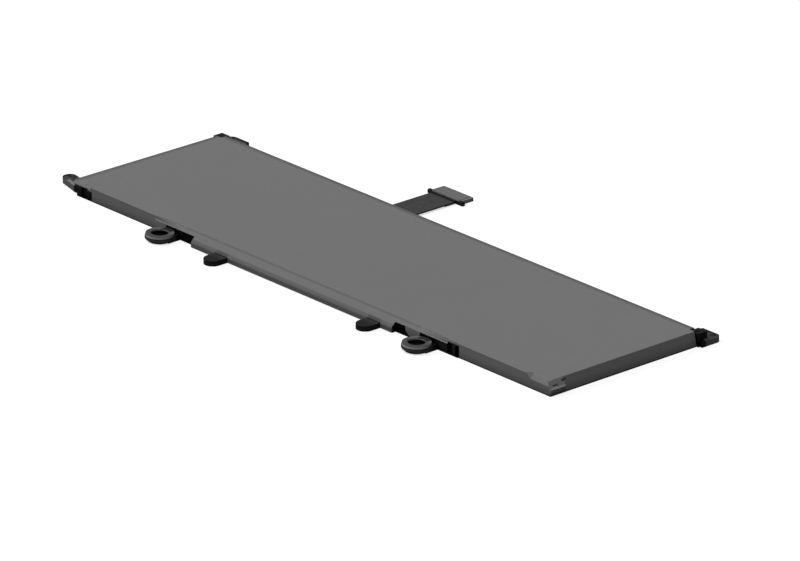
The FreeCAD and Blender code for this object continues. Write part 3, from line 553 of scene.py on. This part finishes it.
def rim_shade_bands(nodes):
    """Painted shade where the film bends over the back edge and the left end: the outer band, and the whole
    band.
    """
    low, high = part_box("top_film")
    from_back = nodes.math("SUBTRACT", high.y, nodes.axis("Y"))
    from_left = nodes.offset("X", low.x + END_TOP_INSET)
    from_edge = nodes.math("MINIMUM", from_back, from_left)
    on_top = nodes.above(nodes.axis("Z"), FILM_TOP, FINE_FADE)
    return [
        nodes.all_of(nodes.within(from_edge, width, RIM_SOFTNESS), on_top)
        for width in (RIM_OUTER_WIDTH, RIM_WIDTH)
    ]


def ledge_bands(nodes):
    """Painted shade on the foot of the ledge's slope, and deeper painted shade on it above the stops."""
    out = nodes.below(nodes.axis("Y"), slab_front() - LEDGE_BAND_OUT, EDGE_FADE)
    band = nodes.all_of(out, nodes.below(nodes.axis("Z"), LEDGE_BAND_TOP, LEDGE_BAND_FADE))
    return band, nodes.all_of(band, beside_stops(nodes, ABOVE_STOP_HALF))


def slit_shadow(nodes):
    """Painted shadow of a short slit in the right end wall, above the tucked fold."""
    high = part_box("top_film")[1]
    along = nodes.between(nodes.axis("Y"), slab_front() + SLIT_START, slab_front() + SLIT_END, EDGE_FADE)
    up = nodes.between(nodes.axis("Z"), SLIT_LOW, SLIT_HIGH, FINE_FADE)
    return nodes.all_of(along, up, nodes.above(nodes.axis("X"), high.x - END_TOP_INSET, FINE_FADE))


def beside_stops(nodes, half):
    """1 where X is within half a width of one of the two stops."""
    beside = [nodes.below(nodes.distance("X", middle), half, half * STOP_SOFTNESS) for middle in STOP_MIDDLES]
    return nodes.any_of(*beside)


def frame_surface(name, colour, lit_ear_colour):
    """Black moulded plastic with a spark-eroded grain, with painted shade in its hollows and painted light
    where it stands out beside the slab.
    """
    nodes = material_nodes(name)
    slow = nodes.noise(COLOUR_CHANGE, detail=3.0)
    tone = nodes.tint(slow, colour, darkest=0.85, lightest=1.15)
    # Painted shade in corners and hollows, taken from ambient occlusion.
    hollow = nodes.outside(nodes.ramp(nodes.openness(HOLLOW_REACH), HOLLOW_DARK, HOLLOW_LIGHT))
    tone = nodes.paint(tone, hollow, colour, HOLLOW_SHADE)
    # Painted shade on the front rail beside the ledge's two ends.
    tone = nodes.paint(tone, rail_gaps(nodes), colour, HOLLOW_SHADE)
    tone = lug_and_stop_tone(nodes, tone, lit_ear_colour)
    tone = nodes.mix(ear_mask(nodes), tone, ear_tone(nodes, slow, lit_ear_colour))
    gloss = nodes.wander(nodes.noise(GLOSS_CHANGE), low=0.56, high=0.68)
    normal = nodes.bump(nodes.noise(GRAIN, detail=3.0), GRAIN_DEPTH, GRAIN_STRENGTH)
    return nodes.surface(tone, gloss, normal, specular=0.01)


def rail_gaps(nodes):
    """The front rail beside the two ends of the ledge, where it lies in the shade of the film's fold."""
    front = nodes.below(nodes.axis("Y"), RAIL_GAP_BACK, EDGE_FADE)
    gaps = [nodes.between(nodes.axis("X"), start, end, EDGE_FADE) for start, end in RAIL_GAPS]
    return nodes.all_of(front, nodes.any_of(*gaps))


def lug_and_stop_tone(nodes, tone, colour):
    """Painted light on the sides of the lugs, and painted shade on the stops, whose tops are lighter towards
    the slab.
    """
    out = nodes.below(nodes.axis("Y"), LUG_SIDE_Y, EDGE_FADE)
    side = nodes.below(nodes.axis("Z"), LUG_SIDE_TOP, FINE_FADE)
    tone = nodes.paint(tone, nodes.all_of(out, side), colour, LUG_SIDE_SHADE)
    root = nodes.all_of(nodes.ramp(nodes.axis("Y"), STOP_TIP, STOP_ROOT), nodes.outside(side))
    stop_tone = nodes.tint(root, colour, STOP_TIP_SHADE, STOP_ROOT_SHADE)
    return nodes.mix(nodes.all_of(out, beside_stops(nodes, STOP_HALF)), tone, stop_tone)


def ear_mask(nodes):
    """1 on the ears: behind the slab's back, and left of its left end."""
    slab_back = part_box("top_film")[1].y
    back = nodes.above(nodes.axis("Y"), slab_back + BACK_EAR_GAP, EDGE_FADE)
    front = nodes.below(nodes.axis("X"), FRONT_EAR_END, EDGE_FADE)
    return nodes.all_of(nodes.any_of(back, front), nodes.below(nodes.axis("Z"), EAR_TOP, EDGE_FADE))


def ear_tone(nodes, slow, colour):
    """Colour of the ears: painted light at the front one's root and along its near edge, painted shade on its
    far half, and dark painted rims on all.
    """
    tone = nodes.tint(slow, colour, darkest=0.85, lightest=1.15)
    front = nodes.below(nodes.axis("Y"), -MIDDLE_FADE, 2 * MIDDLE_FADE)
    inset = from_front_ear_edge(nodes)
    far = nodes.outside(nodes.within(inset, FRONT_EAR_HALF, FRONT_EAR_SOFTNESS))
    tone = nodes.paint(tone, nodes.all_of(front, far), colour, FRONT_EAR_FAR_SHADE)
    root = nodes.above(nodes.axis("X"), FRONT_EAR_PALE, FRONT_EAR_PALE_FADE)
    tone = nodes.paint(tone, nodes.all_of(front, root), colour, FRONT_EAR_PALE_SHADE)
    edge = nodes.within(inset, FRONT_EAR_EDGE, FRONT_EAR_SOFTNESS)
    start = nodes.above(nodes.axis("X"), FRONT_EAR_EDGE_START, FRONT_EAR_EDGE_FADE)
    tone = nodes.paint(tone, nodes.all_of(front, edge, start), colour, FRONT_EAR_EDGE_SHADE)
    # Painted light: the ears' walls are lighter than their tops.
    tone = nodes.paint(tone, nodes.upright(), colour, EAR_WALL_SHADE)
    return nodes.paint(tone, ear_rims(nodes), colour, EAR_RIM_SHADE)


def from_front_ear_edge(nodes):
    """Distance across the front ear from its slanted near edge."""
    steps = [
        nodes.math("MULTIPLY", nodes.offset(letter, start), share)
        for letter, start, share in zip("XY", FRONT_EAR_ROOT, FRONT_EAR_INWARD)
    ]
    return nodes.math("ADD", *steps)


def ear_rims(nodes):
    """Painted shade on the outer rims of the ears: along the back, and round the tip of the front ear."""
    low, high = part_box("frame")
    back = nodes.above(nodes.axis("Y"), high.y - EAR_RIM, EAR_RIM_FADE)
    return nodes.any_of(back, nodes.below(nodes.axis("X"), low.x + EAR_RIM, EAR_RIM_FADE))


def bush_surface(name, colour, lit_side_colour):
    """Grey moulded ring, with a painted highlight round its outside, and painted shade inside its cup and
    towards the slab.
    """
    nodes = material_nodes(name)
    tone = nodes.tint(nodes.noise(per_metre=300.0, detail=3.0), colour, darkest=0.9, lightest=1.1)
    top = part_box(BUSHES[0])[1].z
    side = nodes.below(nodes.axis("Z"), top - BUSH_SIDE, BUSH_SIDE / 2)
    on_top = nodes.outside(side)
    tone = nodes.mix(side, tone, lit_side_colour)
    tone = nodes.paint(tone, nodes.all_of(bush_near_shade_mask(nodes), on_top), colour, BUSH_NEAR_SHADE)
    tone = nodes.paint(tone, nodes.all_of(bush_far_shadow_mask(nodes), on_top), colour, BUSH_DARK_SHADE)
    # Painted shade inside the cup.
    cup = nodes.below(from_bush_axis(nodes), CUP_RADIUS + TOUCH, CUP_FADE)
    inside = nodes.all_of(cup, nodes.below(nodes.axis("Z"), top - CUP_DEPTH, CUP_DEPTH))
    tone = nodes.paint(tone, inside, colour, CUP_SHADE)
    gloss = nodes.wander(nodes.noise(per_metre=700.0), low=0.5, high=0.62)
    normal = nodes.bump(nodes.noise(per_metre=4000.0, detail=3.0), distance=0.01 * MM, strength=0.3)
    return nodes.surface(tone, gloss, normal, specular=0.02)


def bush_near_shade_mask(nodes):
    """Painted shade on the half of a bush's top away from the slab, which reaches further back towards its
    right side.
    """
    middle = middle_of(BUSHES[0]).y
    shift = nodes.ramp(from_bush_middle(nodes), BUSH_SHIFT_START, BUSH_SHIFT_END, 0.0, BUSH_NEAR_SHIFT)
    return nodes.below(nodes.offset("Y", shift), middle - BUSH_NEAR_FADE, 2 * BUSH_NEAR_FADE)


def bush_far_shadow_mask(nodes):
    """Painted shadow on the rim of a bush's top towards the slab, which is deeper over its middle."""
    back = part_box(BUSHES[0])[1].y
    middle = middle_of(BUSHES[0]).y
    rim = nodes.above(nodes.axis("Y"), back - BUSH_RIM, BUSH_RIM_FADE)
    behind = nodes.above(nodes.axis("Y"), middle + BUSH_DARK_START, BUSH_DARK_FADE)
    across = nodes.math("ABSOLUTE", from_bush_middle(nodes))
    return nodes.any_of(rim, nodes.all_of(behind, nodes.below(across, BUSH_DARK_HALF, BUSH_DARK_FADE)))


def from_bush_axis(nodes):
    """Distance from the nearer bush's axis."""
    distances = []
    for bush in BUSHES:
        steps = [nodes.offset(letter, start) for letter, start in zip("XY", middle_of(bush))]
        squares = [nodes.math("MULTIPLY", step, step) for step in steps]
        distances.append(nodes.math("SQRT", nodes.math("ADD", *squares)))
    return nodes.math("MINIMUM", *distances)


def from_bush_middle(nodes):
    """X from the middle of the bush on the same side of the pack."""
    middles = [middle_of(bush).x for bush in BUSHES]
    return nodes.offset("X", nodes.ramp(nodes.axis("X"), -MIDDLE_FADE, MIDDLE_FADE, *middles))


def pouch_surface(name, colour):
    """Aluminium laminate with a soft orange-peel surface and slow dents."""
    nodes = material_nodes(name)
    peel = nodes.noise(per_metre=900.0, detail=3.0)
    tone = nodes.tint(peel, colour, darkest=0.93, lightest=1.05)
    dents = nodes.bump(nodes.noise(per_metre=60.0), distance=0.12 * MM, strength=0.4)
    normal = nodes.bump(peel, distance=0.02 * MM, strength=0.3, below=dents)
    return nodes.surface(tone, nodes.wander(peel, low=0.28, high=0.38), normal, metallic=0.9)


def cable_surface(name, colour):
    """Flat cable with painted shade along its margin: its conductors show through its cover as shallow ribs
    along Y.
    """
    nodes = material_nodes(name)
    middle = middle_of("flex_cable").x
    half = half_of("flex_cable").x
    wave = nodes.wave("X", middle + CONDUCTOR_PITCH / 2, CONDUCTOR_PITCH)
    ribs = nodes.ramp(wave, -RIB_SOFTNESS, RIB_SOFTNESS)
    tone = nodes.tint(ribs, colour, darkest=0.93, lightest=1.03)
    # Painted shade along the cable's two edges.
    margin = nodes.above(nodes.distance("X", middle), half - CABLE_MARGIN, CABLE_MARGIN_FADE)
    tone = nodes.paint(tone, margin, colour, CABLE_MARGIN_SHADE)
    gloss = nodes.wander(nodes.noise(per_metre=300.0), low=0.55, high=0.65)
    grain = nodes.bump(nodes.noise(GRAIN), distance=0.008 * MM, strength=0.25)
    normal = nodes.bump(ribs, distance=0.05 * MM, strength=0.5, below=grain)
    return nodes.surface(tone, gloss, normal, specular=0.05)


def shell_surface(name, colour):
    """Blackened metal plate, darker along its border."""
    nodes = material_nodes(name)
    slow = nodes.noise(per_metre=500.0, detail=3.0, scales=SHELL_PATCHES)
    tone = nodes.tint(slow, colour, darkest=0.93, lightest=1.07)
    border = [
        nodes.above(nodes.distance(letter, middle), half - SHELL_BORDER, SHELL_BORDER)
        for letter, middle, half in zip("XY", middle_of("connector_shell"), half_of("connector_shell"))
    ]
    tone = nodes.paint(tone, nodes.any_of(*border), colour, SHELL_BORDER_SHADE)
    gloss = nodes.wander(nodes.noise(per_metre=600.0), low=0.48, high=0.58)
    normal = nodes.bump(nodes.noise(per_metre=3000.0, scales=SHELL_LINES), distance=0.006 * MM, strength=0.3)
    return nodes.surface(tone, gloss, normal, specular=0.2)


def board_surface(name, colour):
    """Solder mask with tracks that show through as slightly lighter lines."""
    nodes = material_nodes(name)
    tracks = nodes.ramp(nodes.wave("Y", TRACK_PITCH / 4, TRACK_PITCH), TRACK_FOOT, TRACK_CREST)
    tone = nodes.paint(colour, tracks, colour, TRACK_SHADE)
    gloss = nodes.wander(nodes.noise(per_metre=500.0), low=0.22, high=0.34)
    return nodes.surface(tone, gloss, nodes.bump(tracks, distance=0.03 * MM, strength=0.4), coat=0.3)


def tape_surface(name, colour):
    """Polyimide tape: clear amber with small creases."""
    nodes = material_nodes(name)
    creases = nodes.noise(per_metre=700.0, detail=4.0, scales=TAPE_CREASES)
    tone = nodes.tint(creases, colour, darkest=0.8, lightest=1.15)
    normal = nodes.bump(creases, distance=0.03 * MM, strength=0.4)
    return nodes.surface(tone, roughness=0.3, normal=normal, coat=0.2)


def make_materials():
    """One material for each slot of the record, and three more: the painted highlights of the folds and of
    the tuck's lip, and the skirts.
    """
    return {
        # The ears' lighter colour is painted light on the parts of the frame that stand out in the open.
        "frame_plastic": frame_surface(
            "frame_plastic", (0.012, 0.012, 0.0122), lit_ear_colour=(0.050, 0.050, 0.051),
        ),
        "top_film": film_surface("top_film", (0.129, 0.129, 0.129), with_painted_shade=True),
        # Lighter copies of the film: painted highlights on the folds and on the tucked fold's lip.
        "highlit_fold": film_surface("highlit_fold", (0.158, 0.158, 0.158), with_painted_shade=True),
        "lip_highlight": film_surface("lip_highlight", (0.270, 0.270, 0.270), with_painted_shade=False),
        "bottom_film": film_surface("bottom_film", (0.085, 0.085, 0.087), with_painted_shade=False),
        "bush_plastic": bush_surface(
            "bush_plastic", (0.100, 0.100, 0.101), lit_side_colour=(0.36, 0.36, 0.362),
        ),
        "pouch": pouch_surface("pouch", (0.62, 0.63, 0.65)),
        "adhesive": plain_surface(
            "adhesive", (0.75, 0.74, 0.70), roughness=0.9, grain=1500.0, grain_depth=0.04 * MM,
        ),
        "aluminium_tab": brushed_surface("aluminium_tab", (0.72, 0.73, 0.74), roughness=0.32),
        "nickel": brushed_surface("nickel", (0.60, 0.59, 0.56), roughness=0.30),
        "tape": tape_surface("tape", (0.75, 0.45, 0.08)),
        "board": board_surface("board", (0.02, 0.09, 0.05)),
        "chip": plain_surface(
            "chip", (0.03, 0.03, 0.032), roughness=0.6, grain=6000.0, grain_depth=0.01 * MM,
        ),
        "ceramic_body": plain_surface(
            "ceramic_body", (0.50, 0.42, 0.33), roughness=0.45, grain=6000.0,
        ),
        "cable": cable_surface("cable", (0.039, 0.039, 0.0395)),
        "stiffener": plain_surface("stiffener", (0.05, 0.05, 0.052), roughness=0.5),
        "plug_plastic": plain_surface(
            "plug_plastic", (0.008, 0.008, 0.0082), roughness=0.6, specular=0.04,
        ),
        "plug_shell": shell_surface("plug_shell", (0.088, 0.088, 0.089)),
        "skirt": plain_surface(
            "skirt", (0.20, 0.20, 0.202), roughness=0.5, mottle=0.05, specular=0.1,
        ),
        "contact_metal": brushed_surface("contact_metal", (0.78, 0.60, 0.27), roughness=0.25),
    }


def dress_nodes(frame, materials):
    """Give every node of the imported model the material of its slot."""
    for part in frame["record"]["subparts"]:
        node = frame["nodes"][part["node"]]
        for slot in node.material_slots:
            slot.material = materials[part["material_slot"]]


def link_object(name, data):
    """Put a new object with a mesh, lamp or camera into the scene."""
    made = bpy.data.objects.new(name, data)
    bpy.context.collection.objects.link(made)
    return made


def add_piece(name, slot, materials, mesh_data, replaced=(), rounding=0.0, looks=None):
    """Make an object of a bmesh: it rides on the pack, has a slot's finish and may stand for a node."""
    bmesh.ops.recalc_face_normals(mesh_data, faces=mesh_data.faces)
    mesh = bpy.data.meshes.new(name)
    mesh_data.to_mesh(mesh)
    mesh_data.free()
    for look in looks or [slot]:
        mesh.materials.append(materials[look])
    piece = link_object(name, mesh)
    if rounding > 0.0:
        rounded = piece.modifiers.new("rounding", "BEVEL")
        rounded.width = rounding
        rounded.segments = ROUNDING_SEGMENTS
        rounded.limit_method = "ANGLE"
        rounded.angle_limit = FOLD_ANGLE
    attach(piece, "root")
    if replaced:
        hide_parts(*replaced)


def add_bands(mesh_data, rings):
    """Join each ring of corners to the next one with a band of faces."""
    for first, last in zip(rings, rings[1:]):
        for here in range(len(first)):
            following = (here + 1) % len(first)
            mesh_data.faces.new((first[here], first[following], last[following], last[here]))


def add_prism(mesh_data, profile, axis, start, end):
    """Stretch a closed outline along X or Y."""
    rings = []
    for place in (start, end):
        if axis == "X":
            corners = [(place, across, height) for across, height in profile]
        else:
            corners = [(across, place, height) for across, height in profile]
        rings.append([mesh_data.verts.new(corner) for corner in corners])
    mesh_data.faces.new(rings[0])
    mesh_data.faces.new(reversed(rings[1]))
    add_bands(mesh_data, rings)


def is_fold(edge):
    """A convex bend between two broad faces on the film's outside."""
    if len(edge.link_faces) != 2 or not edge.is_convex or edge.calc_face_angle() < FOLD_ANGLE:
        return False
    return all(face.calc_area() / face.calc_perimeter() > FOLD_WIDTH for face in edge.link_faces)


def make_folded_film(frame, materials):
    """The top film with rounded folds in place of sharp ones, with a painted highlight on the near folds."""
    film = bmesh.new()
    film.from_mesh(frame["nodes"]["top_film"].data)
    bmesh.ops.remove_doubles(film, verts=film.verts, dist=WELD_DISTANCE)
    bmesh.ops.dissolve_limit(film, angle_limit=FLAT_ANGLE, verts=film.verts, edges=film.edges)
    folds = [edge for edge in film.edges if is_fold(edge)]
    rounded = bmesh.ops.bevel(
        film, geom=folds, offset=FOLD_ROUNDING, offset_type="OFFSET", segments=FOLD_SEGMENTS, profile=0.5,
        affect="EDGES", clamp_overlap=True,
    )
    # Painted highlight: the near folds take the lighter copy of the film.
    for face in rounded["faces"]:
        middle = face.calc_center_median()
        if middle.y < HIGHLIT_FOLD_BACK and middle.x > HIGHLIT_FOLD_LEFT:
            face.material_index = 1
    add_piece("folded_film", "top_film", materials, film, ("top_film",), looks=["top_film", "highlit_fold"])


def make_fold_run_outs(materials):
    """Slanted facets that close the start of the folds at the two front corners."""
    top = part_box("top_film")[1].z
    front = slab_front()
    inner = front + CORNER_FOLD_INSET
    foot = top - CORNER_FOLD_INSET
    run_outs = bmesh.new()
    for side in (-1, 1):
        start = side * (CORNER_FOLD_START - CORNER_FOLD_LAP)
        end = side * (CORNER_FOLD_START + CORNER_FOLD_RUN_OUT)
        corners = [(start, inner, top), (start, front, top), (start, front, foot)]
        corners += [(end, inner, top), (end, front, foot)]
        inside, edge, low, far_inside, far_low = [run_outs.verts.new(corner) for corner in corners]
        for face in (
            (inside, edge, low), (inside, low, far_low, far_inside), (inside, far_inside, edge),
            (edge, far_low, low), (edge, far_inside, far_low),
        ):
            run_outs.faces.new(face)
    add_piece("fold_run_outs", "top_film", materials, run_outs)


def make_ledge_hem(materials):
    """The film's hem over the ledge: it leans out and hangs straight, and ends just above the stops."""
    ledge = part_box("top_film")[0].y
    head = [(ledge + HEM_BACK, HEM_TOP), (ledge + TOUCH, HEM_TOP)]
    hanging = [
        (ledge - HEM_REACH, HEM_BEND), (ledge - HEM_REACH, HEM_FOOT), (ledge + HEM_BACK, HEM_FOOT),
    ]
    above_stop = [(ledge - HEM_REACH / 2, HEM_STOP_FOOT), (ledge + HEM_BACK, HEM_STOP_FOOT)]
    hem = bmesh.new()
    starts = [LEDGE_START] + [middle + HEM_STOP_HALF for middle in STOP_MIDDLES]
    ends = [middle - HEM_STOP_HALF for middle in STOP_MIDDLES] + [LEDGE_END]
    for start, end in zip(starts, ends):
        add_prism(hem, head + hanging, "X", start, end)
    for middle in STOP_MIDDLES:
        add_prism(hem, head + above_stop, "X", middle - HEM_STOP_HALF, middle + HEM_STOP_HALF)
    add_piece("ledge_hem", "top_film", materials, hem, rounding=HEM_ROUNDING)


def make_corner_tuck(materials):
    """The film's tucked fold at the right front corner: a leaning flap with a dimple pressed into it, with a
    painted highlight on the flap and a brighter one on its lip.
    """
    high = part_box("top_film")[1]
    slope = TUCK_TOP - TUCK_FOOT

    def wall(height):
        """X of the leaning end wall at a height."""
        return high.x - END_TOP_INSET + (high.z - height) * WALL_LEAN

    def section(place, depth):
        """Outline of the flap across the wall; its slope is pressed in by depth over its middle."""
        foot = wall(TUCK_FOOT) + TUCK_FOOT_REACH
        head = wall(TUCK_TOP) + TUCK_TOP_REACH
        points = [(wall(TUCK_SKIRT) - TOUCH, TUCK_SKIRT), (foot - TUCK_SKIRT_INSET, TUCK_SKIRT)]
        points.append((foot, TUCK_FOOT))
        for share, pressed in zip(DIMPLE_SHARES, (0.0, depth, depth, 0.0)):
            points.append((foot + (head - foot) * share - pressed, TUCK_FOOT + slope * share))
        points += [(head, TUCK_TOP), (wall(TUCK_TOP) - TOUCH, TUCK_TOP)]
        return [tuck.verts.new((across, slab_front() + place, height)) for across, height in points]

    tuck = bmesh.new()
    rings = [
        section(TUCK_START, 0.0),
        section(DIMPLE_START, 0.0),
        section(DIMPLE_START + DIMPLE_RIM, DIMPLE_DEPTH),
        section(DIMPLE_END - DIMPLE_RIM, DIMPLE_DEPTH),
        section(DIMPLE_END, 0.0),
        section(TUCK_END, 0.0),
    ]
    add_bands(tuck, rings)
    tuck.faces.new(rings[0])
    tuck.faces.new(reversed(rings[-1]))
    # Painted highlight: the lip at the flap's foot takes the lightest copy of the film.
    lip_top = TUCK_FOOT + slope * DIMPLE_SHARES[0]
    for face in tuck.faces:
        heights = [vertex.co.z for vertex in face.verts]
        if TUCK_FOOT - TOUCH < min(heights) and max(heights) < lip_top + TOUCH:
            face.material_index = 1
    looks = ["highlit_fold", "lip_highlight"]
    add_piece("corner_tuck", "top_film", materials, tuck, rounding=TUCK_ROUNDING, looks=looks)


def make_fold_flaps(materials):
    """The parts of the film's front fold that hang down in front of the frame beside the lugs."""
    plane = slab_front() - FLAP_OUT
    flaps = bmesh.new()
    for outline in FLAPS:
        add_prism(flaps, outline, "Y", plane, plane + FLAP_THICKNESS)
    add_piece("fold_flaps", "top_film", materials, flaps, rounding=THIN_ROUNDING)


def make_ribbed_cable(materials):
    """The flat cable with a raised rib over each conductor and thin sealed margins."""
    low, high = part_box("flex_cable")
    middle = middle_of("flex_cable").x
    groove = high.z - GROOVE_DEPTH
    profile = [(low.x, high.z - MARGIN_DROP)]
    for row in range(CONDUCTOR_COUNT):
        centre = middle + CONDUCTOR_PITCH * (row - (CONDUCTOR_COUNT - 1) / 2)
        for side in (-1, 1):
            foot = (centre + side * (CONDUCTOR_WIDTH / 2 + RIB_SLOPE), groove)
            crown = (centre + side * CONDUCTOR_WIDTH / 2, high.z)
            profile += [foot, crown] if side < 0 else [crown, foot]
    profile.append((high.x, high.z - MARGIN_DROP))
    profile += [(high.x, low.z + UNDERSIDE_RISE), (high.x - UNDERSIDE_INSET, low.z)]
    profile += [(low.x + UNDERSIDE_INSET, low.z), (low.x, low.z + UNDERSIDE_RISE)]
    cable = bmesh.new()
    add_prism(cable, profile, "Y", low.y, high.y)
    add_piece("ribbed_cable", "cable", materials, cable, ("flex_cable",))


def make_pressed_shell(materials):
    """The plug's cover plate: clipped corners and a raised field inside a lower border."""
    low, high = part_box("connector_shell")

    def ring(inset, height):
        """The plate's outline with clipped corners, drawn in by an inset."""
        points = []
        for x_side, y_side in ((-1, -1), (1, -1), (1, 1), (-1, 1)):
            x = (low.x + inset) if x_side < 0 else (high.x - inset)
            y = (low.y + inset) if y_side < 0 else (high.y - inset)
            cut = [(x - x_side * SHELL_CORNER, y), (x, y - y_side * SHELL_CORNER)]
            points += cut if x_side != y_side else reversed(cut)
        return [plate.verts.new((x, y, height)) for x, y in points]

    plate = bmesh.new()
    rings = [
        ring(0.0, low.z),
        ring(0.0, low.z + SHELL_EDGE_HEIGHT),
        ring(SHELL_EDGE_INSET, low.z + SHELL_BORDER_HEIGHT),
        ring(SHELL_FIELD_INSET, low.z + SHELL_BORDER_HEIGHT),
        ring(SHELL_FIELD_INSET + SHELL_FIELD_SLOPE, high.z),
    ]
    add_bands(plate, rings)
    plate.faces.new(reversed(rings[0]))
    plate.faces.new(rings[-1])
    add_piece("pressed_shell", "plug_shell", materials, plate, ("connector_shell",))


def make_plug_skirts(materials):
    """The cover plate's skirts, folded down over the plug's two ends."""
    low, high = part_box("connector_shell")
    skirts = bmesh.new()
    for edge, side in ((low.x - SKIRT_GAP, -1), (high.x + SKIRT_GAP, 1)):
        profile = [
            (edge - side * SKIRT_LAP, low.z),
            (edge + side * TOUCH, low.z),
            (edge + side * TOUCH, SKIRT_FOOT),
            (edge + side * SKIRT_THICKNESS, SKIRT_FOOT),
            (edge + side * SKIRT_THICKNESS, low.z + SKIRT_THICKNESS),
            (edge - side * SKIRT_LAP, low.z + SKIRT_THICKNESS),
        ]
        add_prism(skirts, profile, "Y", low.y + SKIRT_START, high.y - SHELL_CORNER)
    add_piece("plug_skirts", "plug_shell", materials, skirts, rounding=THIN_ROUNDING, looks=["skirt"])


def make_entry_seal(materials):
    """The strip of sealant where the cable goes into the plug."""
    cable_low, cable_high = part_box("flex_cable")
    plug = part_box("connector_shell")[0]
    profile = [
        (plug.y - SEAL_LENGTH, cable_high.z),
        (plug.y, cable_high.z),
        (plug.y, plug.z),
        (plug.y - SEAL_CHAMFER, plug.z),
        (plug.y - SEAL_LENGTH, cable_high.z + SEAL_CHAMFER),
    ]
    seal = bmesh.new()
    add_prism(seal, profile, "X", cable_low.x + SEAL_INSET, cable_high.x - SEAL_INSET)
    add_piece("entry_seal", "plug_plastic", materials, seal, rounding=THIN_ROUNDING)


def seen_ray(nodes):
    """1 for rays that show a surface to the eye, straight or mirrored, and 0 for its light on others."""
    rays = nodes.add("ShaderNodeLightPath").outputs
    return nodes.any_of(rays["Is Camera Ray"], rays["Is Glossy Ray"], rays["Is Transmission Ray"])


def diffuse(nodes, level):
    """A dull grey shader."""
    shader = nodes.add("ShaderNodeBsdfDiffuse")
    nodes.feed(shader.inputs["Color"], shade(WHITE, level))
    return shader.outputs[0]


def make_floor():
    """Plain white floor that keeps the shadow and throws little light back."""
    mesh = bpy.data.meshes.new("floor")
    half = FLOOR_SIZE / 2
    corners = [(x * half, y * half, -FLOOR_DROP) for x, y in ((-1, -1), (1, -1), (1, 1), (-1, 1))]
    mesh.from_pydata(corners, [], [(0, 1, 2, 3)])
    floor = link_object("floor", mesh)
    nodes = material_nodes("floor")
    glow = nodes.add("ShaderNodeEmission")
    nodes.feed(glow.inputs["Strength"], FLOOR_GLOW)
    shown = nodes.add("ShaderNodeAddShader")
    nodes.feed(shown.inputs[0], diffuse(nodes, FLOOR_PALE))
    nodes.feed(shown.inputs[1], glow.outputs[0])
    choice = nodes.add("ShaderNodeMixShader")
    nodes.feed(choice.inputs[0], seen_ray(nodes))
    nodes.feed(choice.inputs[1], diffuse(nodes, FLOOR_BOUNCE))
    nodes.feed(choice.inputs[2], shown.outputs[0])
    nodes.feed(nodes.output.inputs["Surface"], choice.outputs[0])
    mesh.materials.append(nodes.owner)


def make_world():
    """White backdrop to the eye, and a low even fill for the object."""
    world = bpy.data.worlds.new("studio")
    bpy.context.scene.world = world
    nodes = Nodes(world, "ShaderNodeOutputWorld")
    backdrop = nodes.add("ShaderNodeBackground")
    nodes.feed(backdrop.inputs["Color"], WHITE)
    level = nodes.ramp(seen_ray(nodes), 0.0, 1.0, FILL_LEVEL, BACKDROP_LEVEL)
    nodes.feed(backdrop.inputs["Strength"], level)
    nodes.feed(nodes.output.inputs["Surface"], backdrop.outputs[0])


def make_lamp(name, direction, spread):
    """One soft far light; a strength of pi gives a surface that faces it a plain exposure."""
    lamp = bpy.data.lights.new(name, "SUN")
    lamp.energy = math.pi * direction.length
    lamp.angle = spread
    link_object(name, lamp).rotation_euler = direction.to_track_quat("Z", "Y").to_euler()


def make_camera():
    """Long lens from the front right, at the height that shows the film and both near walls."""
    forward = Vector((
        -math.sin(CAMERA_TURN) * math.cos(CAMERA_RISE),
        math.cos(CAMERA_TURN) * math.cos(CAMERA_RISE),
        -math.sin(CAMERA_RISE),
    ))
    level_right = Vector((math.cos(CAMERA_TURN), math.sin(CAMERA_TURN), 0.0))
    level_up = level_right.cross(forward)
    place = level_right * CAMERA_AIM_RIGHT + level_up * CAMERA_AIM_UP - forward * CAMERA_DISTANCE
    roll = Matrix.Rotation(CAMERA_ROLL, 3, forward)
    turned = Matrix((roll @ level_right, roll @ level_up, -forward)).transposed()
    lens = bpy.data.cameras.new("camera")
    lens.lens = LENS
    lens.sensor_width = SENSOR
    lens.clip_start = NEAREST_SEEN
    lens.clip_end = FARTHEST_SEEN
    camera = link_object("camera", lens)
    camera.matrix_world = Matrix.Translation(place) @ turned.to_4x4()
    bpy.context.scene.camera = camera


with open("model.json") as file:
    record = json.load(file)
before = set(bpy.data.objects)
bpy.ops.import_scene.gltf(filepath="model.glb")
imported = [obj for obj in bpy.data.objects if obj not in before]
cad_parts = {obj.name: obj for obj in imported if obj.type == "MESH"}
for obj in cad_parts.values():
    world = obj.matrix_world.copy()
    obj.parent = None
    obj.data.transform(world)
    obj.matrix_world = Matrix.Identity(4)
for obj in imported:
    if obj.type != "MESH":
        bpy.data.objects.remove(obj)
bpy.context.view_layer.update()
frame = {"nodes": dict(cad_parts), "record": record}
bpy.context.scene.view_settings.view_transform = "Standard"
materials = make_materials()
dress_nodes(frame, materials)
make_folded_film(frame, materials)
make_fold_run_outs(materials)
make_ledge_hem(materials)
make_corner_tuck(materials)
make_fold_flaps(materials)
make_ribbed_cable(materials)
make_pressed_shell(materials)
make_plug_skirts(materials)
make_entry_seal(materials)
make_floor()
make_world()
make_lamp("key", KEY_DIRECTION, KEY_SPREAD)
make_lamp("side", SIDE_DIRECTION, SIDE_SPREAD)
make_camera()
